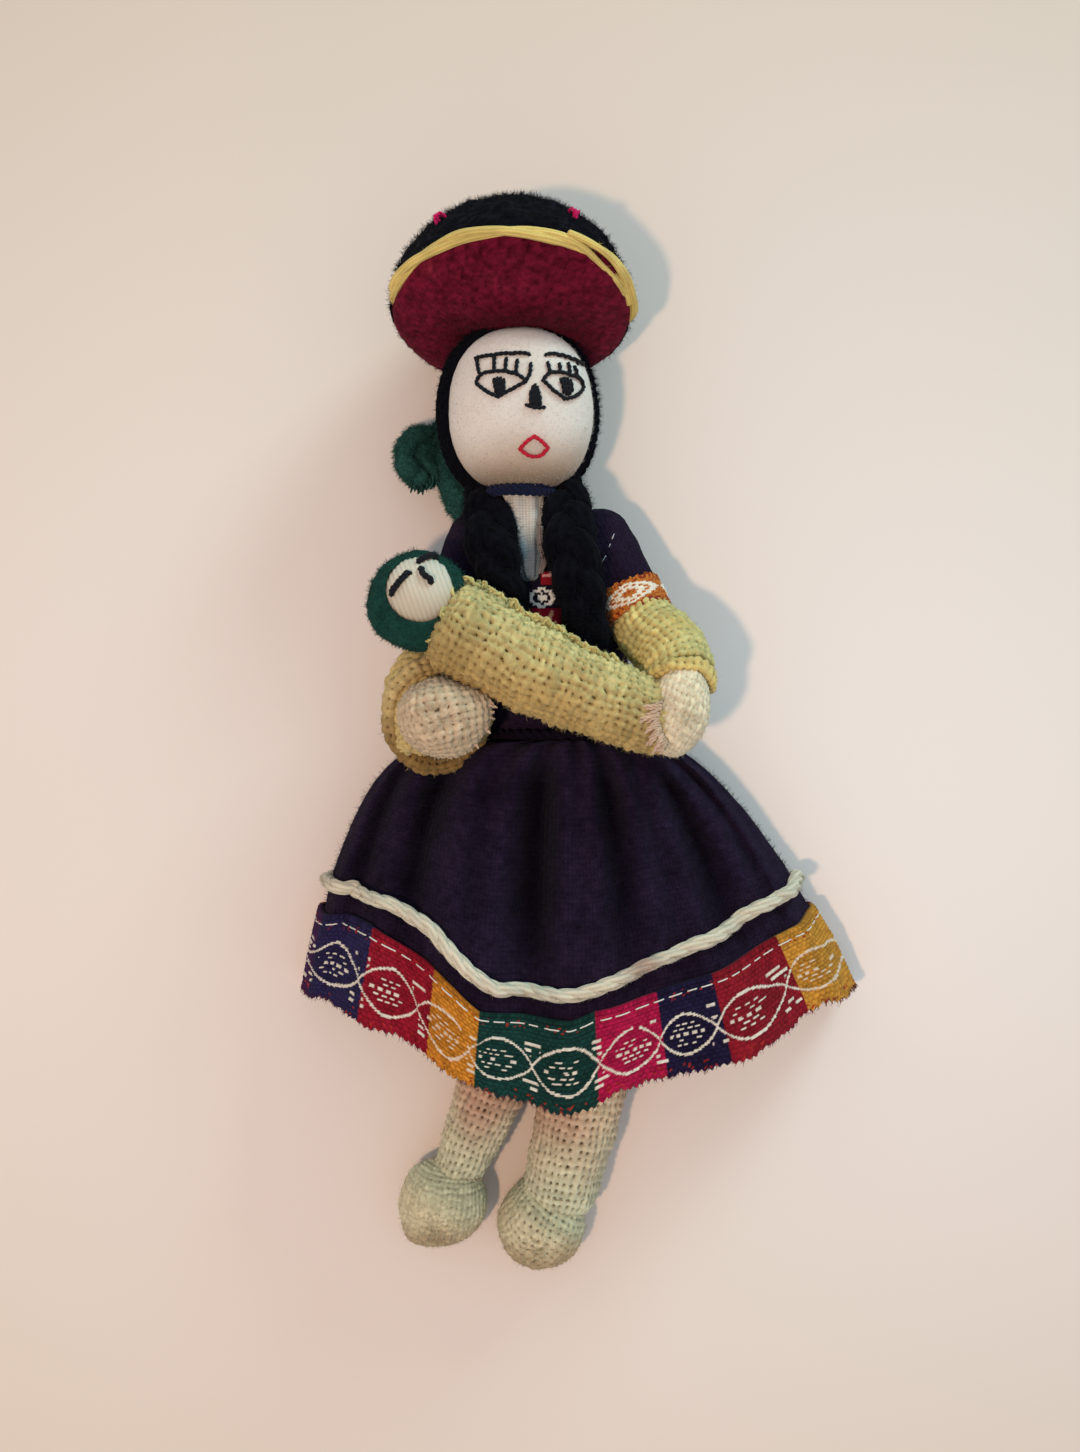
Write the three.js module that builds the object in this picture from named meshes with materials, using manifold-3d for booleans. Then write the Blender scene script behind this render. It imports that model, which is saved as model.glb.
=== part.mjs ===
// A hand-sewn cloth doll that lies on its back and holds a wrapped baby.
// Units are millimetres. +Z is up from the table, +Y runs to the head, +X is the doll's left side.
// While the pieces are made, the origin is on the table under the middle of the doll's waist.

import * as THREE from 'three';
import { mergeVertices } from 'three/addons/utils/BufferGeometryUtils.js';
import Module from 'manifold-3d';

const wasm = await Module();
wasm.setup();

// Fits
const clearance = 0.3; // between pieces that touch
const tieRoom = 1.2; // round the neck tie, which nods with the head
const movingClearance = 0.7; // between pieces that turn against each other
const pressedFlat = 0.5; // how deep a stuffed form is pressed flat by the table
const fitSlack = 0.03; // a cut leaves this much less than the clearance, so no cut lies on a made face
const facetSlack = 0.06; // faces this close to flat are made one
const clothWall = 1.0; // thickness of the covers round a stuffing
const feltWall = 1.6;

// Head and neck
const headCentre = [-9.2, 58.7, 20.2];
const headHalfWidth = 13.2;
const headHalfHeight = 14.9;
const headHalfDepth = headHalfWidth; // the head is round across
const faceTurn = 13; // degrees that the face looks to the doll's left
const hairThickness = 1.4;
const hairlineForward = 0.6; // how far in front of the head's middle the hair ends
const chinOpen = 8; // degrees that the hairline leans back under the chin
const neckHalfWidth = 4.6;
const neckLength = 5.5;
const throatLength = 14.5; // the cream cloth that shows between the braids, below the neck
const throatSideways = 1.6; // from the neck to the throat's point
const throatEndRadius = 1.6;
const neckTieRadius = 0.8;
const nodBack = 6; // degrees
const nodForward = 10; // degrees

// Hat
const hatTilt = 22.5; // degrees that the hat leans back from the line of the head
const hatRimRadius = 21.8;
const hatCrownHeight = 19.0;
const hatForward = 7.8; // from the head's axis to the hat's axis, towards the face
const hatSideways = -1.5;
const hatSink = 1.2; // how far the head sits into the hat's underside
const hatDishDepth = 1.0;
const hatEdgeYarnRadius = 1.15;
const hatStitchLength = 2.2;
const hatStitchRadius = 0.75;
const hatStitchAngle = 36; // degrees each side of the top of the rim
const hatStitchRise = 24; // degrees up the crown from the rim

// Face threads
const threadRadius = 0.42;
const browRise = 7.6; // above the middle of the head
const browHalfLength = 4.3;
const lashLength = 2.4;
const eyeRise = 2.2;
const eyeHalfWidth = 4.1;
const lidDrop = 2.6;
const eyeApart = 5.8; // from the middle of the face to the middle of an eye
const lidRise = 1.2;
const browDroop = 0.5; // how much lower the ends of a brow lie
const pupilHalfHeight = 1.0;
const noseRise = -0.6;
const noseHalfHeight = 1.5;
const noseHalfWidth = 0.9;
const mouthDrop = 8.8;
const mouthHalfWidth = 2.6;
const mouthHalfHeight = 2.0;

// Torso and its clothes
const torsoHalfWidth = 13.0;
const torsoHalfDepth = 9.2;
const torsoTop = [-9.4, 36.0, 11.6];
const torsoWaist = [0, -3.0, 12.6];
const waistHalfWidth = 12.5;
const bodiceWall = 1.2;
const bodiceAboveTop = 3.6; // how far the bodice reaches up past the torso's top
const bodiceAboveWaist = 0.5;
const panelWidth = 8.0;
const panelLength = 17.0;
const panelWall = 0.8;
const panelBelowTop = 9.0; // from the bodice's upper edge
const panelSideways = 0.6;

// Braids
const braidRadius = 5.2;
const braidEndRadius = 3.2;
const braidSpread = 13.2; // between the two braids at the neck
const braidLength = 30.0;
const braidLift = 2.0; // height of the braid's middle over the bodice front
const braidSideways = 1.6; // from the head's middle to the middle between the braids
const braidBelowHead = 3.6;
const braidBehind = 0.6; // how much lower than the head's middle the braids start
const leftBraidDrift = 5.4; // how far the end of a braid lies to the doll's left of its start
const rightBraidDrift = 7.2;

// Shawl knot behind the neck
const shawlThickness = 4.7;
const shawlReach = 13.5;
// The knot's path: distances from the neck to the right and up, the height over the table, and the shares
// of the thickness across and deep.
const shawlPath = [
  [shawlReach - 1.5, 15.5, 8.0, 0.5, 0.7],
  [shawlReach + 5.0, 9.5, 8.6, 1.0, 0.9],
  [shawlReach + 4.0, 3.4, 8.6, 0.9, 0.9],
  [shawlReach - 3.0, -1.2, 10.0, 0.6, 0.8],
  [0, -2.0, 8.0, 0.55, 0.8],
];

// Arms
const leftShoulderOut = 14.6; // from the torso's middle line to the arm's root
const rightShoulderOut = 7.6; // the doll leans on this arm, so it lies more under the torso's edge
const sleeveRadius = 6.2;
const cuffLength = 5.2;
const cuffWall = 1.0;
const forearmRadius = 6.0;
const leftElbow = [12.2, 21.8, 17.6];
const leftWrist = [19.4, 11.6, 26.2];
const rightElbow = [-22.6, 18.6, 13.0];
const rightWrist = [-24.4, -0.2, 22.0];
const rightForearmRadius = 6.8;
const leftForearmBow = 1.2; // how far the forearm bows outwards between elbow and wrist
const rightForearmBow = 3.0;
const shoulderBelowTop = -0.5;
const shoulderLift = 1.6;
const armLift = 15; // degrees that the arms rise from the belly with the baby
const handHalfLength = 8.0;
const handHalfWidth = 5.4;
const handHalfDepth = 5.2;
const rightHandHalfWidth = 8.0;
const rightHandHalfHeight = 6.9;
const rightHandHalfDepth = 6.5;
const leftHandFromWrist = [-1.0, -7.2, 5.4];
const rightHandFromWrist = [2.4, 3.2, 8.6];
const leftHandTurn = -14; // degrees
const rightHandTurn = 12; // degrees

// Baby
const bundleHeadEnd = [-19.6, 19.0, 31.2];
const bundleFootEnd = [14.5, 3.4, 29.4];
const bundleHalfWidth = 7.8;
const bundleHalfDepth = 6.4;
const bundleFootHalfWidth = 6.0;
const babyHeadRadius = 6.6;
const babyHeadReach = 7.4; // from the end of the bundle to the middle of the baby's head
const babyHeadRise = 2.6;
const hoodWall = 1.7;
const hoodDrop = 1.6; // how far the hood hangs below the face towards the bundle
const babyFaceRise = 1.5; // from the middle of the head to the middle of the hood's opening
const babyFaceTurn = 24; // degrees
const babyStitchRadius = 0.5;
// The baby's stitches: across and up from the middle of its face, degrees from level, and half length.
const babyStitches = {
  baby_eye_right: [-3.3, 1.8, 48, 2.3],
  baby_eye_left: [1.2, 5.3, 15, 1.5],
  baby_nose: [1.0, 3.0, -54, 1.3],
};

// Skirt
const skirtLength = 64.0; // along the front, waist to hem
const skirtSideLength = 46.8; // as it lies at the sides
const skirtRightHalfWidth = 50.0; // at the hem
const skirtLeftHalfWidth = 53.5;
const skirtWaistHeight = 25.0;
const skirtHemHeight = 30.5;
const skirtWall = 1.1;
const skirtFoldDepth = 1.5;
const skirtFolds = 13;
const waistCordRadius = 0.9;
const bandWidth = 15.6; // the woven band, up from the hem
const trimFromHem = 20.5; // from the hem to the middle of the white yarn
const skirtHemInset = 3.0; // the skirt's own edge stops this much short of the band's
const skirtTopAboveWaist = 2.0;
const skirtSideHeight = 3.4; // over the table, at the hem
const skirtSideRise = 1.5; // how much higher the sides are at the waist
const bandWall = 0.8;
const trimYarnRadius = 1.25;

// Legs and feet
const hipSpread = 14.0;
const hipHeight = 10.0;
const thighRadius = 6.3;
const calfRadius = 7.0;
const leftAnkleRadius = 6.6;
const rightAnkleRadius = 4.6;
const leftAnkle = [-1.2, -85.0, 8.4];
const rightAnkle = [-20.6, -81.6, 7.6];
const leftKnee = [2.6, -55.0, 9.6];
const rightKnee = [-11.8, -54.0, 9.4];
const footHalfLength = 8.2;
const footHalfWidth = 8.0;
const footHalfDepth = 8.0;
const footForward = 7.6; // from the ankle to the middle of the foot
const leftFootSideways = -3.4;
const rightFootSideways = -1.0;
const hipBelowTorso = 1.5;

// Colours
const colours = {
  cream: 0xdccfbc,
  black: 0x17171e,
  wineRed: 0x641222,
  yellow: 0xc6ab45,
  pink: 0xb03a68,
  red: 0xa31a2c,
  navy: 0x23295a,
  purple: 0x241a3c,
  green: 0x1e5a48,
  mustard: 0xb4a65c,
  hand: 0xc9bca8,
  white: 0xd5d0be,
  orange: 0xd08a2a,
  crimson: 0x9c1830,
  leg: 0xc7b39b,
  foot: 0xb5b59a,
  wool: 0xece6da,
};

const radians = THREE.MathUtils.degToRad;
const lerp = THREE.MathUtils.lerp;
const vec = (p) => new THREE.Vector3(p[0], p[1], p[2]);

// Shapes

// Turns a three.js geometry into a solid that can be cut.
function solidOf(geometry) {
  const plain = geometry.clone();
  plain.deleteAttribute('normal');
  plain.deleteAttribute('uv');
  const merged = mergeVertices(plain, 1e-4);
  const mesh = new wasm.Mesh({
    numProp: 3,
    vertProperties: new Float32Array(merged.attributes.position.array),
    triVerts: new Uint32Array(merged.index.array),
  });
  return new wasm.Manifold(mesh);
}

// Joins rings of points into one closed skin. Each ring has the same number of points.
// An open run of rings is closed by a point at each end, and a closed run joins its last ring to its first.
function skin(rings, firstPoint, lastPoint) {
  const positions = [];
  const index = [];
  const count = rings[0].length;
  for (const ring of rings) {
    for (const point of ring) {
      positions.push(point.x, point.y, point.z);
    }
  }
  const closedRun = firstPoint === undefined;
  const bands = closedRun ? rings.length : rings.length - 1;
  for (let band = 0; band < bands; band++) {
    const here = band * count;
    const next = ((band + 1) % rings.length) * count;
    for (let i = 0; i < count; i++) {
      const j = (i + 1) % count;
      index.push(here + i, here + j, next + j);
      index.push(here + i, next + j, next + i);
    }
  }
  if (!closedRun) {
    const first = positions.length / 3;
    positions.push(firstPoint.x, firstPoint.y, firstPoint.z);
    positions.push(lastPoint.x, lastPoint.y, lastPoint.z);
    const lastRing = (rings.length - 1) * count;
    for (let i = 0; i < count; i++) {
      const j = (i + 1) % count;
      index.push(first, j, i);
      index.push(first + 1, lastRing + i, lastRing + j);
    }
  }
  const geometry = new THREE.BufferGeometry();
  geometry.setAttribute('position', new THREE.Float32BufferAttribute(positions, 3));
  geometry.setIndex(index);
  const solid = solidOf(geometry);
  if (solid.volume() >= 0) {
    return solid;
  }
  for (let i = 0; i < index.length; i += 3) {
    [index[i + 1], index[i + 2]] = [index[i + 2], index[i + 1]];
  }
  geometry.setIndex(index);
  return solidOf(geometry);
}

// A point on an oval round the middle of a station.
function ovalPoint(station, halfWidth, halfDepth, angle, offset) {
  return station.centre
    .clone()
    .addScaledVector(station.side, halfWidth * Math.cos(angle))
    .addScaledVector(station.up, halfDepth * Math.sin(angle))
    .addScaledVector(station.along, offset);
}

// A soft form along a path. Each stop is [x, y, z, halfWidth, halfDepth]. Its ends are rounded.
// The form is larger by `grow` all round when it is used to cut its neighbours.
function softForm(stops, { sides = 12, steps = 8, roundness = 0.8, capAngles = [60, 32] } = {}) {
  return (grow) => {
    const places = new THREE.CatmullRomCurve3(stops.map(vec));
    const sizes = new THREE.CatmullRomCurve3(stops.map((s) => new THREE.Vector3(s[3], s[4] ?? s[3], 0)));
    const stations = [];
    for (let step = 0; step <= steps; step++) {
      const t = step / steps;
      const along = places.getTangent(t);
      const side = new THREE.Vector3().crossVectors(along, new THREE.Vector3(0, 0, 1)).normalize();
      const up = new THREE.Vector3().crossVectors(side, along).normalize();
      const size = sizes.getPoint(t);
      stations.push({ centre: places.getPoint(t), along, side, up, w: size.x + grow, h: size.y + grow });
    }
    const rings = [];
    const addRing = (station, scale, offset) => {
      const ring = [];
      for (let i = 0; i < sides; i++) {
        const angle = (2 * Math.PI * i) / sides;
        ring.push(ovalPoint(station, station.w * scale, station.h * scale, angle, offset));
      }
      rings.push(ring);
    };
    const first = stations[0];
    const last = stations[steps];
    const firstReach = Math.min(first.w, first.h) * roundness;
    const lastReach = Math.min(last.w, last.h) * roundness;
    for (const angle of capAngles) {
      addRing(first, Math.cos(radians(angle)), -firstReach * Math.sin(radians(angle)));
    }
    for (const station of stations) {
      addRing(station, 1, 0);
    }
    for (const angle of [...capAngles].reverse()) {
      addRing(last, Math.cos(radians(angle)), lastReach * Math.sin(radians(angle)));
    }
    const firstPoint = first.centre.clone().addScaledVector(first.along, -firstReach);
    const lastPoint = last.centre.clone().addScaledVector(last.along, lastReach);
    return skin(rings, firstPoint, lastPoint);
  };
}

// A yarn or cord that closes on itself. The points are its middle line.
function closedCord(points, radius, sides = 5) {
  return (grow) => {
    const rings = points.map((point, i) => {
      const before = points[(i + points.length - 1) % points.length];
      const after = points[(i + 1) % points.length];
      const along = after.clone().sub(before).normalize();
      const lead = Math.abs(along.z) > 0.9 ? new THREE.Vector3(0, 1, 0) : new THREE.Vector3(0, 0, 1);
      const side = new THREE.Vector3().crossVectors(along, lead).normalize();
      const up = new THREE.Vector3().crossVectors(side, along).normalize();
      const station = { centre: point, along, side, up };
      const ring = [];
      for (let k = 0; k < sides; k++) {
        ring.push(ovalPoint(station, radius + grow, radius + grow, (2 * Math.PI * k) / sides, 0));
      }
      return ring;
    });
    return skin(rings);
  };
}

// An egg or ball with three half sizes, turned about +Z.
function ball(centre, halfX, halfY, halfZ, { across = 16, up = 10, turn = 0 } = {}) {
  return (grow) => {
    const geometry = new THREE.SphereGeometry(1, across, up);
    geometry.scale(halfX + grow, halfZ + grow, halfY + grow);
    geometry.rotateX(Math.PI / 2);
    geometry.rotateZ(radians(turn));
    geometry.translate(centre[0], centre[1], centre[2]);
    return solidOf(geometry);
  };
}

// How far a stuffing's skin lies under the outside of its cover.
const inside = clothWall + clearance;

// A block between two corners, used only as a cutter.
function block(low, high) {
  const size = high.map((value, i) => value - low[i]);
  return wasm.Manifold.cube(size).translate(low);
}

// Turns a solid about a line through a point, parallel to X. Positive turns +Y towards +Z.
function tilted(solid, point, degrees) {
  const away = point.map((value) => -value);
  return solid.translate(away).rotate([degrees, 0, 0]).translate(point);
}

// Head

const faceForward = new THREE.Vector3(0, 0, 1)
  .applyAxisAngle(new THREE.Vector3(0, 1, 0), radians(faceTurn))
  .applyAxisAngle(new THREE.Vector3(1, 0, 0), radians(chinOpen));
const headShape = ball(headCentre, headHalfWidth, headHalfHeight, headHalfDepth);
const neckPlace = [headCentre[0], headCentre[1] - headHalfHeight, headCentre[2]];
const tieReach = neckHalfWidth + 0.5 * (clearance + movingClearance) + neckTieRadius;

// The room that the head and its hair need, through the whole nod.
function headRoom(room) {
  const reach = clearance + hairThickness + room;
  const [halfWidth, halfHeight] = [headHalfWidth + reach, headHalfHeight + reach];
  const whole = ball(headCentre, halfWidth, halfHeight, halfWidth, { across: 12, up: 8 })(reach * 0.15);
  return wasm.Manifold.union([-nodBack, 0, nodForward].map((angle) => tilted(whole, neckPlace, angle)));
}

function headCover() {
  const opening = softForm(
    [
      [neckPlace[0], neckPlace[1] + 3, neckPlace[2], neckHalfWidth * 0.5],
      [neckPlace[0], neckPlace[1] - 3, neckPlace[2], neckHalfWidth * 0.5],
    ],
    { steps: 1, sides: 10 },
  );
  return headShape(0).subtract(headShape(-clothWall)).subtract(opening(0));
}

function headStuffing() {
  return headShape(-inside);
}

// The hair is a cap of wool round the head that leaves the face free.
function hairShape(grow) {
  const cap = headShape(clearance + hairThickness + grow).subtract(headShape(clearance - grow));
  const normal = faceForward.toArray();
  const planeAt = faceForward.dot(vec(headCentre)) + hairlineForward + grow;
  const back = cap.trimByPlane(normal.map((n) => -n), -planeAt);
  const throatWidth = tieReach + neckTieRadius + movingClearance - grow;
  const throat = softForm(
    [
      [neckPlace[0], neckPlace[1] + 2.5, neckPlace[2], throatWidth],
      [neckPlace[0], neckPlace[1] - 6, neckPlace[2], throatWidth],
    ],
    { steps: 1, sides: 12 },
  );
  return back.subtract(throat(0));
}

// The point on the face for a place across and up from its middle. The face is turned with the head.
function onFace(across, rise, lift) {
  const x = across / (headHalfWidth + lift);
  const y = rise / (headHalfHeight + lift);
  const z = Math.sqrt(Math.max(0, 1 - x * x - y * y));
  const point = new THREE.Vector3(across, rise, z * (headHalfDepth + lift));
  return point.applyAxisAngle(new THREE.Vector3(0, 1, 0), radians(faceTurn)).add(vec(headCentre)).toArray();
}

// Threads on the face, joined where they cross. Each thread is a list of [across, rise] places.
function faceThreads(threads, radius) {
  return () => {
    const lift = clearance + radius;
    const solids = threads.map((thread) => {
      const stops = thread.map(([across, rise]) => [...onFace(across, rise, lift), radius]);
      const steps = thread.length === 2 ? 1 : thread.length;
      return softForm(stops, { sides: 4, steps, roundness: 0.6, capAngles: [] })(0);
    });
    return wasm.Manifold.union(solids);
  };
}

// A brow with its row of lashes. `side` is -1 on the doll's right and 1 on its left.
function browShape(side) {
  const middle = side * eyeApart;
  const lashes = 5;
  const threads = [
    [
      [middle - browHalfLength, browRise - browDroop],
      [middle - browHalfLength * 0.5, browRise],
      [middle + browHalfLength * 0.5, browRise],
      [middle + browHalfLength, browRise - browDroop],
    ],
  ];
  for (let i = 0; i < lashes; i++) {
    const share = i / (lashes - 1) - 0.5;
    const across = middle + 1.8 * share * browHalfLength;
    threads.push([
      [across, browRise - threadRadius],
      [across + 0.2 * share, browRise - lashLength],
    ]);
  }
  return faceThreads(threads, threadRadius);
}

// An eye: two lids that meet at the corners, and a pupil between them.
function eyeShape(side) {
  const middle = side * eyeApart;
  const rise = eyeRise;
  const threads = [
    [
      [middle - eyeHalfWidth, rise],
      [middle - eyeHalfWidth * 0.5, rise + lidRise],
      [middle + eyeHalfWidth * 0.5, rise + lidRise],
      [middle + eyeHalfWidth, rise],
    ],
    [
      [middle - eyeHalfWidth, rise],
      [middle, rise - lidDrop],
      [middle + eyeHalfWidth, rise],
    ],
  ];
  const lids = faceThreads(threads, threadRadius);
  const pupilThread = [
    [middle, rise - pupilHalfHeight],
    [middle, rise + pupilHalfHeight],
  ];
  const pupil = faceThreads([pupilThread], threadRadius * 2);
  return () => lids().add(pupil());
}

// The nose: a short upright bar on a wider foot.
const noseFootHalfWidth = noseHalfWidth * 1.6;
const noseShape = faceThreads(
  [
    [
      [0, noseRise - noseHalfHeight],
      [0, noseRise + noseHalfHeight],
    ],
    [
      [-noseFootHalfWidth, noseRise - noseHalfHeight],
      [noseFootHalfWidth, noseRise - noseHalfHeight],
    ],
  ],
  noseHalfWidth,
);

function mouthShape() {
  const points = [];
  const count = 14;
  const lift = clearance + threadRadius;
  for (let i = 0; i < count; i++) {
    const angle = (2 * Math.PI * i) / count;
    const across = mouthHalfWidth * Math.cos(angle);
    const rise = mouthHalfHeight * Math.sin(angle) * (0.55 + 0.45 * Math.abs(Math.sin(angle)));
    points.push(vec(onFace(across, rise - mouthDrop, lift)));
  }
  return closedCord(points, threadRadius)(0);
}

// Hat

// The hat is turned about its own axis, then laid back and set on the head.
const hatAxis = new THREE.Vector3(0, Math.cos(radians(hatTilt)), -Math.sin(radians(hatTilt)));
const hatUp = new THREE.Vector3(0, Math.sin(radians(hatTilt)), Math.cos(radians(hatTilt)));
const hatCentre = vec(headCentre)
  .addScaledVector(hatAxis, headHalfHeight + hairThickness + clearance - hatSink + hatDishDepth * 0.5)
  .addScaledVector(hatUp, hatForward)
  .add(new THREE.Vector3(hatSideways, 0, 0));

function hatPoint(radius, height, angle) {
  return hatCentre
    .clone()
    .addScaledVector(hatAxis, height)
    .addScaledVector(hatUp, radius * Math.cos(angle))
    .add(new THREE.Vector3(radius * Math.sin(angle), 0, 0));
}

// Turns a closed profile of [radius, height] round the hat's axis.
function hatTurned(profile, segments) {
  const geometry = new THREE.LatheGeometry(profile.map(([r, h]) => new THREE.Vector2(r, h)), segments);
  const turn = new THREE.Quaternion().setFromUnitVectors(new THREE.Vector3(0, 1, 0), hatAxis);
  geometry.applyQuaternion(turn);
  geometry.translate(hatCentre.x, hatCentre.y, hatCentre.z);
  const solid = solidOf(geometry);
  if (solid.volume() >= 0) {
    return solid;
  }
  const index = geometry.index.array;
  for (let i = 0; i < index.length; i += 3) {
    [index[i + 1], index[i + 2]] = [index[i + 2], index[i + 1]];
  }
  return solidOf(geometry);
}

const hatSegments = 26;
const domeSteps = 5;
const dishSteps = 4;

function domeProfile(inset) {
  const radius = hatRimRadius - inset;
  const height = hatCrownHeight - inset;
  const points = [];
  for (let i = 0; i <= domeSteps; i++) {
    const angle = (Math.PI / 2) * (i / domeSteps);
    points.push([radius * Math.cos(angle), height * Math.sin(angle)]);
  }
  points[domeSteps][0] = 0;
  return points;
}

function crownShape(grow) {
  const outer = domeProfile(-grow);
  const inner = domeProfile(feltWall + grow).reverse();
  outer[0][1] -= grow;
  inner[inner.length - 1][1] -= grow;
  return hatTurned([...outer, ...inner, outer[0]], hatSegments);
}

// How deep the underside's dish is, for a share of the way from its middle to its edge.
function dishAt(share) {
  return hatDishDepth * (1 - share * share);
}

// The underside fills the crown's mouth and sinks towards its middle.
function undersideShape(grow) {
  const radius = hatRimRadius - feltWall - clearance + grow;
  const points = [[0, hatDishDepth - grow]];
  for (let i = 1; i <= dishSteps; i++) {
    const share = i / dishSteps;
    points.push([radius * share, dishAt(share) - grow]);
  }
  for (let i = dishSteps; i >= 1; i--) {
    const share = i / dishSteps;
    points.push([radius * share, dishAt(share) + feltWall + grow]);
  }
  points.push([0, hatDishDepth + feltWall + grow]);
  return hatTurned(points, hatSegments);
}

function hatStuffingShape() {
  const inset = feltWall + clearance;
  const dome = domeProfile(inset);
  const base = hatDishDepth + feltWall + clearance;
  const radius = dome[1][0];
  const points = [[0, base]];
  for (let i = 1; i <= dishSteps; i++) {
    const share = i / dishSteps;
    points.push([radius * share, dishAt(share) + feltWall + clearance]);
  }
  const start = points[dishSteps][1];
  for (let i = 1; i <= domeSteps; i++) {
    if (dome[i][1] > start + 0.4) {
      points.push(dome[i]);
    }
  }
  return hatTurned(points, hatSegments);
}

const hatEdgePoints = [];
const hatEdgeCount = 32;
for (let i = 0; i < hatEdgeCount; i++) {
  const angle = (2 * Math.PI * i) / hatEdgeCount;
  hatEdgePoints.push(hatPoint(hatRimRadius - hatEdgeYarnRadius * 0.9, -hatEdgeYarnRadius - clearance, angle));
}
const hatEdgeShape = closedCord(hatEdgePoints, hatEdgeYarnRadius);

function hatStitchShape(side) {
  const angle = side * radians(hatStitchAngle);
  const lift = clearance + hatStitchRadius;
  const reach = hatStitchLength / 2 / hatCrownHeight;
  const at = (share) => {
    const lean = radians(hatStitchRise) + share;
    const out = (hatRimRadius + lift) * Math.cos(lean);
    const up = (hatCrownHeight + lift) * Math.sin(lean);
    return [...hatPoint(out, up, angle).toArray(), hatStitchRadius];
  };
  return softForm([at(-reach), at(reach)], { sides: 6, steps: 2, roundness: 0.6 });
}

// Torso and neck

// The middle line of the torso, for a share of its length down from the top.
function torsoLine(share) {
  return lerp(torsoTop[0], torsoWaist[0], share);
}

const chestShare = 0.4; // how far down the torso is widest
const chestAt = lerp(torsoTop[1], torsoWaist[1], chestShare);
const torsoRoundness = 0.55;
const torsoStops = [
  [...torsoTop, torsoHalfWidth * 0.82, torsoHalfDepth * 0.9],
  [torsoLine(chestShare), chestAt, torsoTop[2], torsoHalfWidth, torsoHalfDepth],
  [...torsoWaist, waistHalfWidth, torsoHalfDepth * 0.96],
];
const torsoShape = softForm(torsoStops, { sides: 16, steps: 6, roundness: torsoRoundness });
const torsoFrontHeight = torsoTop[2] + torsoHalfDepth + clearance + bodiceWall;

function torsoCover() {
  const mouth = block(
    [torsoWaist[0] - 3, torsoWaist[1] - torsoHalfDepth, torsoWaist[2] - 3],
    [torsoWaist[0] + 3, torsoWaist[1] + 2, torsoWaist[2] + 3],
  );
  return torsoShape(0).subtract(torsoShape(-clothWall)).subtract(mouth);
}

function torsoStuffing() {
  return torsoShape(-inside);
}

const bodiceTop = torsoTop[1] + bodiceAboveTop;
const bodiceBottom = torsoWaist[1] + bodiceAboveWaist;

function bodiceShape(grow) {
  const shell = torsoShape(clearance + bodiceWall + grow).subtract(torsoShape(clearance - grow));
  const below = shell.trimByPlane([0, -1, 0], -(bodiceTop + grow));
  return below.trimByPlane([0, 1, 0], bodiceBottom - grow);
}

function panelShape(grow) {
  const inner = clearance + bodiceWall + clearance - grow;
  const shell = torsoShape(inner + panelWall + 2 * grow).subtract(torsoShape(inner));
  const middle = torsoLine(0.33) + panelSideways;
  const top = bodiceTop - panelBelowTop;
  const window = block(
    [middle - panelWidth / 2 - grow, top - panelLength - grow, torsoTop[2]],
    [middle + panelWidth / 2 + grow, top + grow, torsoFrontHeight + 5],
  );
  return shell.intersect(window);
}

// The neck runs down from the head and ends in the pointed throat cloth between the braids.
const throatHeight = torsoFrontHeight + clearance;
const neckEndHeight = lerp(neckPlace[2], throatHeight, 0.3);
const neckShape = softForm(
  [
    [neckPlace[0], neckPlace[1] + 1.0, neckPlace[2], neckHalfWidth],
    [neckPlace[0], neckPlace[1] - neckLength, neckEndHeight, neckHalfWidth, neckHalfWidth * 0.85],
    [neckPlace[0] + throatSideways, neckPlace[1] - throatLength, throatHeight, throatEndRadius],
  ],
  { sides: 12, steps: 6, roundness: 0.8 },
);

// The tie lies against the chin: the head's surface there gives its place along the neck.
const chinSlope = Math.sqrt(1 - (tieReach / headHalfWidth) ** 2);
const chinAt = headCentre[1] - headHalfHeight * chinSlope;
const tieAt = chinAt - (clearance + neckTieRadius) / chinSlope;
const neckTiePoints = [];
const neckTieCount = 16;
for (let i = 0; i < neckTieCount; i++) {
  const angle = (2 * Math.PI * i) / neckTieCount;
  neckTiePoints.push(
    new THREE.Vector3(
      neckPlace[0] + tieReach * Math.cos(angle),
      tieAt,
      neckPlace[2] + tieReach * Math.sin(angle),
    ),
  );
}
const neckTieShape = closedCord(neckTiePoints, neckTieRadius);

// Braids: they hang from behind the ears and are pinned under the baby.
function braidShape(side) {
  const top = [
    headCentre[0] + braidSideways + side * braidSpread * 0.5,
    neckPlace[1] - braidBelowHead,
    headCentre[2] - braidBehind,
  ];
  const height = torsoFrontHeight + braidLift;
  const drift = side < 0 ? rightBraidDrift : leftBraidDrift;
  return softForm(
    [
      [...top, braidRadius * 0.86],
      [top[0] + drift * 0.12, top[1] - braidLength * 0.3, height + 0.8, braidRadius],
      [top[0] + drift * 0.5, top[1] - braidLength * 0.65, height + 0.6, braidRadius, braidRadius * 0.85],
      [top[0] + drift, top[1] - braidLength, height - 1.2, braidEndRadius, braidEndRadius * 0.8],
    ],
    { sides: 10, steps: 7 },
  );
}

// The shawl's knot lies behind the neck, on the doll's right.
const shawlShape = softForm(
  shawlPath.map(([right, up, height, across, deep]) => [
    neckPlace[0] - right,
    neckPlace[1] + up,
    height,
    shawlThickness * across,
    shawlThickness * deep,
  ]),
  { sides: 8, steps: 7 },
);

// Arms

// Both arms turn about one line through the shoulders, because both hands are sewn to the bundle.
const shoulderLine = [0, torsoTop[1] - shoulderBelowTop, torsoTop[2] + shoulderLift];

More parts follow.
